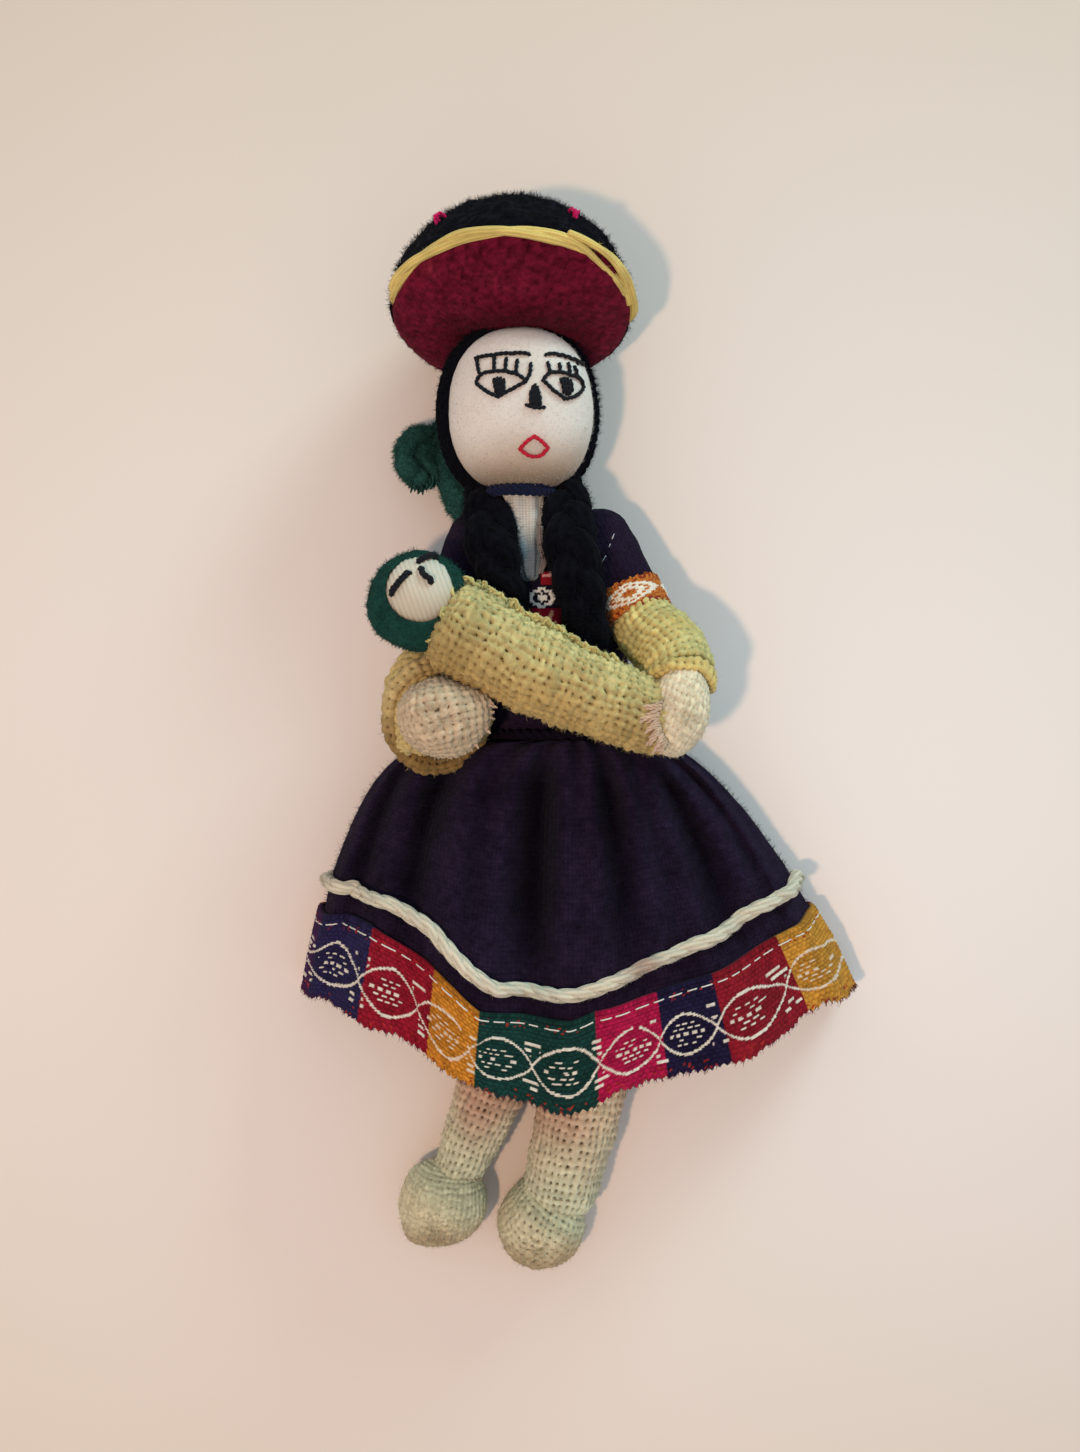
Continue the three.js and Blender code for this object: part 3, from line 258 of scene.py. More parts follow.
def normals_of(P):
    """Normals of a grid of points [row, column] that closes round its columns."""
    return unit(np.cross(np.roll(P, -1, 1) - np.roll(P, 1, 1), np.gradient(P, axis=0)))


def faces_inward(P, N):
    """Tells if a form's normals point towards its middle."""
    return ((P - P.reshape(-1, 3).mean(0)) * N).sum() < 0


def outward(P):
    """Normals of a closed form that face out of it."""
    N = normals_of(P)
    return -N if faces_inward(P, N) else N


def add_grid(mesh, P, colour, uv=(0, 0), closed_u=True, closed_v=False, flip=None):
    """Adds a grid of points as a skin, and caps the open ends of a tube. `uv` holds the spacing of columns and of
    rows in millimetres, or their places. A closed skin is turned outwards, unless `flip` says which way it goes."""
    rows, cols = P.shape[:2]
    U, W = (np.arange(n + 1) * at if np.ndim(at) == 0 else at for n, at in zip((cols, rows), uv))
    j = np.arange(rows if closed_v else rows - 1)[:, None]
    i = np.arange(cols if closed_u else cols - 1)[None, :]
    j1, i1 = (j + 1) % rows, (i + 1) % cols
    quads = np.stack([j * cols + i, j * cols + i1, j1 * cols + i1, j1 * cols + i], axis=-1).reshape(-1, 4)
    a, b, c, d = np.broadcast_arrays(U[i], U[i + 1], W[j], W[j + 1])
    uvs = np.stack([np.stack(x, -1) for x in ((a, c), (b, c), (b, d), (a, d))], axis=-2).reshape(-1, 4, 2)
    verts, colours = P.reshape(-1, 3), np.broadcast_to(colour, P.shape).reshape(-1, 3)
    faces, face_uvs = [quads], [uvs]
    if closed_u and not closed_v:
        k, n = np.arange(cols), rows * cols
        k1 = (k + 1) % cols
        faces.append(np.stack([np.full(cols, n), k1, k], -1))
        faces.append(np.stack([np.full(cols, n + 1), (rows - 1) * cols + k, (rows - 1) * cols + k1], -1))
        face_uvs += [np.stack([np.stack([U[k], np.full(cols, W[row])], -1)] * 3, axis=1) for row in (0, -1)]
        verts = np.concatenate([verts, [P[0].mean(0), P[-1].mean(0)]])
        colours = np.concatenate([colours, colours[:1], colours[-1:]])
    if flip is None:
        middle = verts.mean(0)
        a, b, c, d = (verts[quads[:, k]] - middle for k in range(4))
        flip = (a * np.cross(b, c)).sum() + (a * np.cross(c, d)).sum() < 0
    if flip:
        faces, face_uvs = ([f[:, ::-1] for f in group] for group in (faces, face_uvs))
    mesh.add(verts, faces, colours, face_uvs)


def add_shell(mesh, P, colours, inner, inner_colour, uv, **more):
    """Adds a skin and the wall inside it as one closed form."""
    colours = np.concatenate([colours, np.broadcast_to(inner_colour, inner.shape)])
    add_grid(mesh, np.concatenate([P, inner]), colours, uv, closed_v=True, **more)


def frames_of(path, up=(0, 0, 1), closed=False):
    """The line's direction at each point, and two directions square to it."""
    T = unit(np.roll(path, -1, 0) - np.roll(path, 1, 0) if closed else np.gradient(path, axis=0))
    A = unit(np.cross(np.broadcast_to(np.asarray(up, float), T.shape), T))
    return T, A, unit(np.cross(T, A))


def add_tube(mesh, path, radius, sides, colour, closed=False, up=(0, 0, 1), strands=0, lay=5.0):
    """Adds a thread along a line. `radius` and `colour` may change along it, and `strands` gives it that many finer
    threads in relief, which turn once in `lay` millimetres."""
    path, colour = np.asarray(path, float), np.asarray(colour)
    T, A, B = frames_of(path, up, closed)
    r = np.broadcast_to(np.asarray(radius, float), (len(path),))
    angle = circle(sides)
    ring = np.cos(angle)[None, :, None] * A[:, None] + np.sin(angle)[None, :, None] * B[:, None]
    gone = path_lengths(path)
    relief = np.zeros((len(path), sides))
    if strands:
        wave = strands * angle[None, :] - (2 * np.pi * gone / lay)[:, None]
        relief = 0.16 * np.abs(np.sin(wave / 2 + 0.25 * np.sin(gone)[:, None])) - 0.08
    P = path[:, None] + ring * (r[:, None] * (1 + relief))[..., None]
    # the colour follows the strands' relief: painted shade in the grooves between them, painted highlight on their
    # crests
    if colour.ndim == 2:
        colour = colour[:, None] * (1 + 2.6 * relief)[..., None]
    if not closed:
        first, last = (path[k] + out * T[k] * r[k] * 0.5 + ring[k] * r[k] * 0.6 for k, out in ((0, -1), (-1, 1)))
        P = np.concatenate([first[None], P, last[None]])
        if colour.ndim == 3:
            colour = np.concatenate([colour[:1], colour, colour[-1:]])
    lengths = path_lengths(P.mean(1))
    if closed:
        lengths = np.append(lengths, 2 * lengths[-1] - lengths[-2])
    around = np.arange(sides + 1) / sides * 2 * np.pi * float(r.mean())
    add_grid(mesh, P, colour, (around, lengths), closed_v=closed)


def add_yarn(mesh, path, radius, plies, pitch, colour, closed=False, sides=7, up=(0, 0, 1), step=0.4, spread=0.5,
             ply=0.56, strands=0):
    """Adds a twisted yarn along a line. `radius` may be one number or one for each point of the line, and `colour`
    may be a function of the points and the ply's number."""
    path = np.asarray(path, float)
    path = np.concatenate([path, np.broadcast_to(np.asarray(radius, float), (len(path),))[:, None]], axis=1)
    length = path_lengths(path[:, :3])[-1]
    path = resample(np.concatenate([path, path[:1]]) if closed else path, max(6, int(length / step)), closed)
    path, radius = path[:, :3], path[:, 3]
    _, A, B = frames_of(path, up, closed)
    s = np.arange(len(path)) / len(path) * length
    turns = max(1, round(length / pitch)) if closed else length / pitch
    for k in range(plies):
        turn = 2 * np.pi * (k / plies + turns * s / length)
        centre = path + (radius * spread)[:, None] * (np.cos(turn)[:, None] * A + np.sin(turn)[:, None] * B)
        if callable(colour):
            tone = colour(path, k)
        else:
            tone = np.asarray(colour)[None] * (1 + 0.16 * noise1(s, 3.0, 4, k * 9.0))[:, None]
        add_tube(mesh, centre, radius * ply, sides, tone, closed, up, strands, -pitch * 0.7)


def add_fuzz(mesh, points, normals, length, radius, colour, seed, count=None, lie=1.0):
    """Adds loose fibres that start on the points given, or on `count` of them."""
    rng = np.random.default_rng(seed)
    points, normals = points.reshape(-1, 3), normals.reshape(-1, 3)
    if count is not None:
        pick = rng.integers(0, len(points), count)
        points, normals = points[pick], normals[pick]
    n = len(points)
    size = length * (0.45 + 0.9 * rng.random((n, 1)))
    first = unit(normals * 0.8 + lie * rng.normal(size=(n, 3)) * 0.7)
    middle = points + first * size * 0.5
    tip = middle + unit(first + rng.normal(size=(n, 3)) * 0.7) * size * 0.5
    side = unit(np.cross(first, rng.normal(size=(n, 3))))
    third = np.cross(first, side)
    spokes = [math.cos(k * THIRD_TURN) * side + math.sin(k * THIRD_TURN) * third for k in range(3)]
    low = [points - first * radius + spoke * radius for spoke in spokes]
    high = [middle + spoke * radius * 0.8 for spoke in spokes]
    verts = np.stack([*low, *high, tip], axis=1).reshape(-1, 3)
    base = np.arange(n)[:, None] * 7
    quads = [[k, (k + 1) % 3, 3 + (k + 1) % 3, 3 + k] for k in range(3)]
    tris = [[3 + k, 3 + (k + 1) % 3, 6] for k in range(3)] + [[2, 1, 0]]
    faces = [np.concatenate([base + np.array([corners]) for corners in group]) for group in (quads, tris)]
    shade = 0.8 + 0.5 * rng.random((n, 1))
    mesh.add(verts, faces, np.repeat(np.asarray(colour)[None] * shade, 7, axis=0))


def soft_form(stops, rows, cols, roundness=0.8, cap_rows=7):
    """A stuffed form along a path, with round ends. Each stop is x, y, z, half width and half depth, or one half
    size where it is round."""
    stops = np.array([[*s, s[3]] if len(s) == 4 else list(s) for s in stops], float)
    line = spline(stops, rows)
    T, side, _ = frames_of(line[:, :3])
    side = -side
    up = unit(np.cross(side, T))
    angle = circle(cols)[:, None]

    def ring(k, lean, way):
        """One ring of points. At the ends they draw in and move out along the path, by how far they lean."""
        w, h = line[k, 3:] * math.cos(lean)
        centre = line[k, :3] + T[k] * (way * math.sin(lean) * line[k, 3:].min() * roundness)
        return centre + (np.cos(angle) * w * side[k] + np.sin(angle) * h * up[k])

    lean = np.radians(np.linspace(84, 0, cap_rows, endpoint=False))
    rings = [ring(0, a, -1) for a in lean] + [ring(k, 0, 0) for k in range(rows)]
    return np.stack(rings + [ring(rows - 1, a, 1) for a in lean[::-1]])


def refine(P, rows, cols):
    """The same surface with more points, spaced evenly along it, and how far along it each row lies."""
    s = row_lengths(P)
    at = np.linspace(0, s[-1], rows)
    k = np.clip(np.searchsorted(s, at, side="right") - 1, 0, len(s) - 2)
    t = ((at - s[k]) / (s[k + 1] - s[k]))[:, None, None]
    Q = cubic(*(P[np.clip(k + d, 0, len(s) - 1)] for d in (-1, 0, 1, 2)), t)
    n = Q.shape[1]
    x = np.arange(cols) / cols * n
    i = np.floor(x).astype(int)
    return cubic(*(Q[:, (i + d) % n] for d in (-1, 0, 1, 2)), (x - i)[None, :, None]), at


SETTLE_SCALE = 0.05  # the cloth is simulated at a size that suits the solver
SETTLE_FRAMES = 20
SPARE_CLOTH = 0.05
MOST_MOVED = 0.8
HELD_ROWS = 3


def settle(P):
    """A padded form after cloth simulation: pressure swells it, a little spare cloth wrinkles, the sewn ends stay."""
    rows, cols = P.shape[:2]
    n, last = rows * cols, (rows - 1) * cols
    verts = np.concatenate([P.reshape(-1, 3), P[0].mean(0)[None], P[-1].mean(0)[None]])
    around = [(i, (i + 1) % cols) for i in range(cols)]
    faces = [(j * cols + i, j * cols + k, (j + 1) * cols + k, (j + 1) * cols + i)
             for j in range(rows - 1) for i, k in around]
    for i, k in around:
        faces += [(n, k, i), (n + 1, last + i, last + k)]
    if faces_inward(P, normals_of(P)):
        faces = [f[::-1] for f in faces]
    data = bpy.data.meshes.new("settling")
    data.from_pydata([tuple(v * SETTLE_SCALE) for v in verts], [], faces)
    shape = bpy.data.objects.new("settling", data)
    scene = bpy.context.scene
    scene.collection.objects.link(shape)
    held = [*range(HELD_ROWS * cols), *range(n - HELD_ROWS * cols, n), n, n + 1]
    shape.vertex_groups.new(name="held").add(held, 1.0, "REPLACE")
    cloth = shape.modifiers.new("cloth", "CLOTH")
    for setting, value in dict(
        quality=5, mass=0.3, tension_stiffness=14, compression_stiffness=14, shear_stiffness=6,
        bending_stiffness=0.6, use_pressure=True, uniform_pressure_force=4, shrink_min=-SPARE_CLOTH,
        vertex_group_mass="held",
    ).items():
        setattr(cloth.settings, setting, value)
    cloth.settings.effector_weights.gravity = 0
    cloth.point_cache.frame_start, cloth.point_cache.frame_end = 1, SETTLE_FRAMES
    for number in range(1, SETTLE_FRAMES + 1):
        scene.frame_set(number)
    shown = shape.evaluated_get(bpy.context.evaluated_depsgraph_get()).to_mesh()
    co = np.zeros(len(verts) * 3)
    shown.vertices.foreach_get("co", co)
    scene.frame_set(1)
    bpy.data.objects.remove(shape)
    bpy.data.meshes.remove(data)
    moved = co.reshape(-1, 3)[:n].reshape(rows, cols, 3) / SETTLE_SCALE - P
    size = np.linalg.norm(moved, axis=-1, keepdims=True)
    return P + moved * np.minimum(1, MOST_MOVED / np.maximum(size, 1e-6))


def upsample(D, rows, cols):
    """A coarse grid's values on a finer grid that closes round its columns."""
    y = np.linspace(0, D.shape[0] - 1, rows)
    x = np.arange(cols) / cols * D.shape[1]
    j, i = np.minimum(np.floor(y).astype(int), D.shape[0] - 2), np.floor(x).astype(int)
    fy, fx = (y - j)[:, None, None], (x - i)[None, :, None]
    fy, fx = fy * fy * (3 - 2 * fy), fx * fx * (3 - 2 * fx)
    i1 = (i + 1) % D.shape[1]
    upper = D[j][:, i] * (1 - fx) + D[j][:, i1] * fx
    lower = D[j + 1][:, i] * (1 - fx) + D[j + 1][:, i1] * fx
    return upper * (1 - fy) + lower * fy


def weave(u, v, gap):
    """Height, pit depth and thread number of plain weave, for places counted in threads."""
    iu, iv = np.floor(u), np.floor(v)

    def thread(across, along, i, way):
        f = across - i - 0.5
        profile = np.where(np.abs(f) < gap, np.sqrt(np.clip(1 - (f / gap) ** 2, 0, 1)), -1.5)
        return way * 0.6 * np.where(i % 2 == 0, 1, -1) * np.cos(np.pi * (along - 0.5)) + profile

    warp, weft = thread(u, v, iu, 1), thread(v, u, iv, -1)
    top = np.maximum(np.maximum(warp, weft), -1.1)
    pit = np.clip((0.75 - top) / 1.6, 0, 1)
    return top, pit, np.where(warp > weft, iu, iv + 1000)


def woven(P, N, u, v, amount, colour, seed, gap=0.42, wander=0.3, deep=0.8):
    """Raises the threads of a coarse cloth on a surface, gives each thread its own tone, and darkens the pits between
    the threads by `deep`: painted shade.
    """
    u, v = (x + wander * noise3(P, 4.0, seed + k) + 0.5 * wander * noise3(P, 1.6, seed + k + 1)
            for x, k in ((u, 0), (v, 2)))
    top, pit, thread = weave(u, v, gap)
    slub = 1 + 0.42 * noise3(P, 2.0, seed + 5)
    hairs = 0.34 * fractal(P, 0.6, seed + 8, 2)
    Q = P + N * (amount * (top * slub - 0.6 + hairs))[..., None]
    shade = 1 + 0.14 * (2 * random_of(thread, seed) - 1) + 0.2 * noise3(P, 0.55, seed + 6)
    # painted shade: the pits between the threads are darkened by `deep`
    shade = (shade + 0.10 * noise3(P, 6, seed + 7)) * (1.08 - deep * pit)
    Q[..., 2] = np.maximum(Q[..., 2], 0.05)
    return Q, np.asarray(colour) * shade[..., None]


# Materials


def node_material(name):
    """A material, its nodes, a function that links two sockets, and its shader."""
    material = bpy.data.materials.new(name)
    material.use_nodes = True
    tree = material.node_tree
    return material, tree.nodes, tree.links.new, tree.nodes["Principled BSDF"]


def cloth_material(name, rough=0.9, sheen=0.06, spec=0.12, fibre=0.35, fibre_size=0.25, pitch=None, weave_bump=0.5,
                   mottle=0.12, mottle_size=3.0, weave_tone=0.35):
    """A procedural cloth or yarn that takes the colour of each vertex. `pitch` is the width of a thread in
    millimetres, for a weave too fine to be modelled, and `weave_tone` its contrast: painted shade where the threads
    dip and painted highlight where they rise."""
    material, nodes, link, shader = node_material(name)
    for socket, value in (("Roughness", rough), ("Specular IOR Level", spec), ("Sheen Weight", sheen),
                          ("Sheen Roughness", 0.5)):
        shader.inputs[socket].default_value = value
    place = nodes.new("ShaderNodeTexCoord")

    def calc(operation, *values):
        node = nodes.new("ShaderNodeMath")
        node.operation = operation
        for socket, value in zip(node.inputs, values):
            if isinstance(value, (int, float)):
                socket.default_value = value
            else:
                link(value, socket)
        return node.outputs[0]

    def noise(size):
        node = nodes.new("ShaderNodeTexNoise")
        node.inputs["Scale"].default_value = 1 / (size * MM)
        node.inputs["Detail"].default_value = 3.0
        link(place.outputs["Object"], node.inputs["Vector"])
        return node.outputs["Fac"]

    def wave(x):
        return calc("ABSOLUTE", calc("SINE", calc("MULTIPLY", x, math.pi)))

    def over(a, b):
        return calc("MULTIPLY", a, calc("ADD", calc("MULTIPLY", b, 0.4), 0.6))

    vertex_colour = nodes.new("ShaderNodeVertexColor")
    vertex_colour.layer_name = "Col"
    fibres, patches = noise(fibre_size), noise(mottle_size)
    shade = calc("ADD", calc("MULTIPLY", patches, 2 * mottle), 1 - mottle)
    shade = calc("ADD", shade, calc("MULTIPLY", calc("SUBTRACT", fibres, 0.5), 0.8 * fibre))
    height = calc("MULTIPLY", fibres, fibre)
    if pitch:
        split = nodes.new("ShaderNodeSeparateXYZ")
        link(place.outputs["UV"], split.inputs[0])
        wobble = calc("MULTIPLY", patches, 0.5)
        u, v = (calc("ADD", calc("DIVIDE", split.outputs[k], pitch), wobble) for k in (0, 1))
        a, b = wave(u), wave(v)
        threads = calc("ADD", calc("FLOOR", u), calc("FLOOR", v))
        odd = calc("GREATER_THAN", calc("FLOORED_MODULO", threads, 2.0), 0.5)
        both = calc("ADD", calc("MULTIPLY", odd, over(a, b)),
                    calc("MULTIPLY", calc("SUBTRACT", 1.0, odd), over(b, a)))
        height = calc("ADD", height, calc("MULTIPLY", both, weave_bump))
        # painted shade on the low parts of the weave, painted highlight on its crossings
        shade = calc("MULTIPLY", shade, calc("ADD", calc("MULTIPLY", both, weave_tone), 1 - 0.7 * weave_tone))
    tinted = nodes.new("ShaderNodeMix")
    tinted.data_type, tinted.blend_type = "RGBA", "MULTIPLY"
    tinted.inputs["Factor"].default_value = 1.0
    link(vertex_colour.outputs["Color"], tinted.inputs["A"])
    link(shade, tinted.inputs["B"])
    link(tinted.outputs["Result"], shader.inputs["Base Color"])
    bump = nodes.new("ShaderNodeBump")
    bump.inputs["Strength"].default_value = 0.6
    bump.inputs["Distance"].default_value = (pitch or fibre_size) * 0.5 * MM
    link(height, bump.inputs["Height"])
    link(bump.outputs[0], shader.inputs["Normal"])
    return material


CREAM = linear("d6c9bc")
BLACK = linear("0b0b10")
WINE = linear("641226")
YELLOW = linear("c6aa60")
PINK = linear("c41458")
RED = linear("b0142a")
NAVY = linear("121832")
PURPLE = linear("1c1322")
GREEN = linear("1b3f36")
SHAWL = linear("274b43")
MUSTARD = linear("bda665")
HAND = linear("c6b799")
WHITE = linear("c0b39b")
LEG = linear("c4b191")
LEG_ROSY = linear("b08c72")
FOOT = linear("b9ac8a")
FOOT_TOP = linear("b3b898")
MUSTARD_GREEN = linear("b7a96e")
MUSTARD_BROWN = linear("b49b68")

face_cloth = cloth_material("face_cloth", fibre=0.55, fibre_size=0.22, mottle=0.05, mottle_size=2.0)
throat_cloth = cloth_material("throat_cloth", fibre=0.5, fibre_size=0.3, pitch=0.5, weave_bump=0.3)
wool = cloth_material("wool", rough=1.0, sheen=0.02, spec=0.02, fibre=0.9, mottle=0.2)
felt = cloth_material("felt", rough=1.0, sheen=0.02, spec=0.02, fibre=1.2, fibre_size=0.3, mottle=0.3,
                      mottle_size=1.1)
wine_felt = cloth_material("wine_felt", rough=1.0, sheen=0.03, spec=0.02, fibre=0.9, fibre_size=0.3, mottle=0.18,
                           mottle_size=1.2)
yarn_cloth = cloth_material("yarn_cloth", fibre=0.8, fibre_size=0.2, mottle=0.1)
thread_cloth = cloth_material("thread_cloth", rough=0.7, spec=0.15, fibre=0.5, fibre_size=0.12, mottle=0.05)
dark_cloth = cloth_material("dark_cloth", rough=1.0, sheen=0.02, spec=0.02, fibre=1.5, fibre_size=0.3, pitch=0.95,
                            weave_bump=0.6, weave_tone=0.3, mottle=0.5, mottle_size=1.2)
coarse_cloth = cloth_material("coarse_cloth", rough=0.95, fibre=0.7, fibre_size=0.2, mottle=0.08)
band_cloth = cloth_material("band_cloth", rough=0.95, spec=0.06, sheen=0.03, fibre=0.5, fibre_size=0.2, mottle=0.08)
baby_cloth = cloth_material("baby_cloth", fibre=0.4, fibre_size=0.18, mottle=0.06)


def piece(mesh, name, material, body, replaces=()):
    """Makes a piece of a mesh. `body` is what it rides on."""
    made = mesh.object(name, material)
    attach(made, body)
    if replaces:
        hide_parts(*replaces)
    return made


def tree_of(made):
    """A piece's surface, for rays."""
    return BVHTree.FromObject(made, bpy.context.evaluated_depsgraph_get())


# Head

FACE_TURN = math.radians(13)
HAIR_LEAN = math.radians(8)
forward = np.array([math.sin(FACE_TURN), 0, math.cos(FACE_TURN)])
forward = np.array([forward[0], -math.sin(HAIR_LEAN) * forward[2], math.cos(HAIR_LEAN) * forward[2]])
HAIRLINE = 0.6


FULLNESS = 2.25  # a plain ellipsoid has 2


def fuller(D):
    """How far an ellipsoid with full shoulders reaches in each direction, as a share of its half sizes."""
    return (np.abs(D) ** FULLNESS).sum(-1) ** (-1 / FULLNESS)


def egg(rows, cols):
    """Directions of a grid over an egg, with its poles along Y: the first row at the top of the head."""
    phi = np.pi * np.linspace(0.02, 0.98, rows)[:, None]
    theta = circle(cols)[None, :]
    D = np.stack([np.sin(phi) * np.sin(theta), np.cos(phi) * np.ones_like(theta), np.sin(phi) * np.cos(theta)], -1)
    return D, phi, theta


D, phi, theta = egg(170, 240)
P = HEAD + D * HEAD_SIZE * fuller(D)[..., None]
puckers = np.cos(24 * theta + 1.3 * np.sin(5 * theta)) * smooth(0.80, 0.97, phi / np.pi)
P = P + D * (0.28 * puckers + 0.22 * fractal(P, 9.0, 3))[..., None]
blush = smooth(-0.4, 0.9, noise3(P, 9.0, 5))
# The face cloth is browner and darker towards the chin: partly the cloth's own tone, partly painted shade under the
# chin.
low_face = smooth(-3.5, -14.5, P[..., 1] - HEAD[1] + 1.5 * noise3(P, 7.0, 6))
face_colour = mix(CREAM, linear("a58a6e"), (0.95 * low_face + 0.22 * blush * (1 - low_face))[..., None])
# more painted shade under the chin
face_colour = face_colour * (1 - 0.45 * smooth(-9.5, -15.0, P[..., 1] - HEAD[1]))[..., None]
# painted light: the forehead is painted lighter, to offset the shade under the hat
face_colour = face_colour * (1 + 0.30 * smooth(4.0, 12.0, P[..., 1] - HEAD[1]))[..., None]
mesh = Mesh()
add_grid(mesh, P, face_colour, uv=(2 * np.pi * HEAD_SIZE[0] / 240, phi[:, 0] * HEAD_SIZE[1]))
seen = (P - HEAD) @ forward > 3
add_fuzz(mesh, P[seen], D[seen], 0.5, 0.025, CREAM, 19, count=3500)
head = piece(mesh, "head_cloth", face_cloth, "head", ["head_cover", "head_stuffing"])
head_tree = tree_of(head)


def on_tree(tree, u, v, inward=(525, 420)):
    """The point of a surface under a pixel of the photograph, and its normal. A pixel that just misses the surface,
    or finds it edge on, moves inward."""
    for share in np.arange(40) * 0.01:
        way = ray(mix(u, inward[0], share), mix(v, inward[1], share))
        hit, normal, _, _ = tree.ray_cast(CAMERA_AT, Vector(way))
        if hit is not None and abs(normal[2]) > 0.12:
            break
    n = np.array(normal)
    return np.array(hit) / MM - OFFSET, n if n[2] > 0 else -n


def surface_line(tree, pixels, count, inward):
    """A line on a surface that follows pixels of the photograph, with the surface's normals."""
    px = spline(np.array([[*p, 0] for p in pixels], float), count)
    found = [on_tree(tree, u, v, inward) for u, v, _ in px]
    return np.array([f[0] for f in found]), np.array([f[1] for f in found])


def add_stitches(mesh, tree, pixels, radius, stitch, colour, lift=0.12, sides=8, inward=(525, 420)):
    """Back stitches along a line on a surface: each one rises from the cloth and goes back into it."""
    line, normals = surface_line(tree, pixels, 60, inward)
    count = max(1, round(path_lengths(line)[-1] / stitch))
    share, inner = np.linspace(0, 1, 60), np.linspace(0, 1, 14)
    for k in range(count):
        t = np.clip(np.linspace((k - 0.1) / count, (k + 1.1) / count, 14), 0, 1)
        p, n = (np.stack([np.interp(t, share, x[:, c]) for c in range(3)], 1) for x in (line, normals))
        n = unit(n)
        rise = radius * 0.75 + lift * np.sin(np.pi * inner)
        rise = rise - 1.1 * radius * (smooth(0.14, 0, inner) + smooth(0.86, 1, inner))
        add_yarn(mesh, p + n * rise[:, None], radius, 2, 1.7, colour=colour, up=n.mean(0), step=0.16, sides=sides,
                 spread=0.42, ply=0.66)


FLOSS, MOUTH_FLOSS = 0.3588, 0.351
face = {
    "brow_stitches_right": ("brow_right", [
        [(475.6, 358.9), (491.7, 356.1), (507.2, 354.4), (521.2, 354.2), (529.6, 355.1)],
        [(477.7, 360.3), (479.8, 373.7)],
        [(494.8, 357.5), (494.5, 371.5)],
        [(506.5, 358.9), (505.3, 371.0)],
        [(517.3, 360.6), (516.0, 372.5)],
        [(530.7, 363.8), (529.6, 374.4), (525.4, 381.4)],
    ]),
    "brow_stitches_left": ("brow_left", [
        [(545.3, 355.4), (553.5, 355.0), (563.3, 356.8), (573.1, 360.3), (582.2, 365.2)],
        [(547.2, 363.1), (549.3, 371.8)],
        [(558.8, 364.3), (559.4, 371.5)],
        [(567.5, 363.8), (568.9, 373.4)],
        [(573.8, 367.3), (576.6, 377.6)],
        [(578.3, 378.0), (582.0, 384.9)],
    ]),
    "eye_stitches_right": ("eye_right", [
        [(476.7, 382.1), (481.9, 375.3), (490.3, 372.3), (503.0, 371.8), (514.2, 373.9), (521.2, 377.5),
         (525.7, 381.7)],
        [(476.7, 383.5), (487.5, 391.9), (498.3, 397.1)],
        [(498.3, 397.1), (508.6, 391.2), (525.7, 382.1)],
        [(494.4, 379.6), (496.6, 392.3)],
        [(497.4, 378.4), (499.4, 394.6)],
        [(500.6, 378.4), (501.8, 394.8)],
        [(503.8, 380.0), (503.9, 393.0)],
    ]),
    "eye_stitches_left": ("eye_left", [
        [(542.7, 380.3), (547.2, 375.1), (553.5, 372.7), (560.5, 373.2), (568.9, 375.1), (577.3, 378.9),
         (582.5, 384.0)],
        [(542.7, 380.7), (552.1, 389.8), (564.0, 399.2)],
        [(564.0, 399.2), (573.8, 396.8), (580.8, 390.5), (582.6, 385.0)],
        [(560.6, 379.4), (563.4, 392.8)],
        [(563.6, 378.6), (566.2, 394.6)],
        [(566.8, 379.0), (568.8, 394.2)],
        [(569.6, 380.8), (571.0, 391.6)],
    ]),
    "nose_stitches": ("nose", [
        [(530.8, 391.5), (530.6, 404.6)],
        [(532.8, 386.6), (532.9, 406.6)],
        [(535.0, 384.9), (535.2, 407.2)],
        [(537.2, 387.4), (537.5, 406.6)],
        [(539.2, 392.6), (539.6, 405.0)],
        [(526.1, 405.0), (535.2, 407.8), (544.4, 407.6)],
    ]),
    "mouth_stitches": ("mouth", [
        [(519.8, 448.4), (526.8, 441.0), (534.5, 436.1)],
        [(534.5, 436.1), (541.5, 441.2), (547.8, 448.0)],
        [(547.8, 448.0), (542.2, 453.6), (535.9, 456.4)],
        [(535.9, 456.4), (528.2, 454.6), (519.8, 448.8)],
    ]),
}
for name, (node, lines) in face.items():
    mesh = Mesh()
    floss, tint, slot = (MOUTH_FLOSS, RED, "red_thread") if node == "mouth" else (FLOSS, BLACK, "black_thread")
    for pixels in lines:
        add_stitches(mesh, head_tree, pixels, floss, 3.2, tint)
    piece(mesh, name, thread_cloth, "head", [node])

# Hair: wool yarns that run from a parting at the back to the roots of the braids, over a cap

mesh = Mesh()
D = egg(120, 160)[0]
P = HEAD + D * HEAD_SIZE * fuller(D)[..., None]
ahead = ((P - HEAD) @ forward) - HAIRLINE
P = P + D * (0.75 - 2.2 * smooth(-1.2, 0.4, ahead) + 0.2 * fractal(P, 1.6, 8))[..., None]
add_grid(mesh, P, BLACK * 0.8)


def hair_direction(turn, drop):
    """A direction from the head's middle: `turn` degrees round from the back, `drop` degrees down from the top."""
    t, d = math.radians(turn) + math.pi + FACE_TURN, math.radians(drop)
    return np.array([math.sin(d) * math.sin(t), math.cos(d), math.sin(d) * math.cos(t)])


def arc(a, b, count):
    """Directions from one to another, the shortest way round."""
    angle = math.acos(float(np.clip(a @ b, -1, 1)))
    t = np.linspace(0, 1, count)[:, None]
    return (np.sin((1 - t) * angle) * a + np.sin(t * angle) * b) / math.sin(angle)


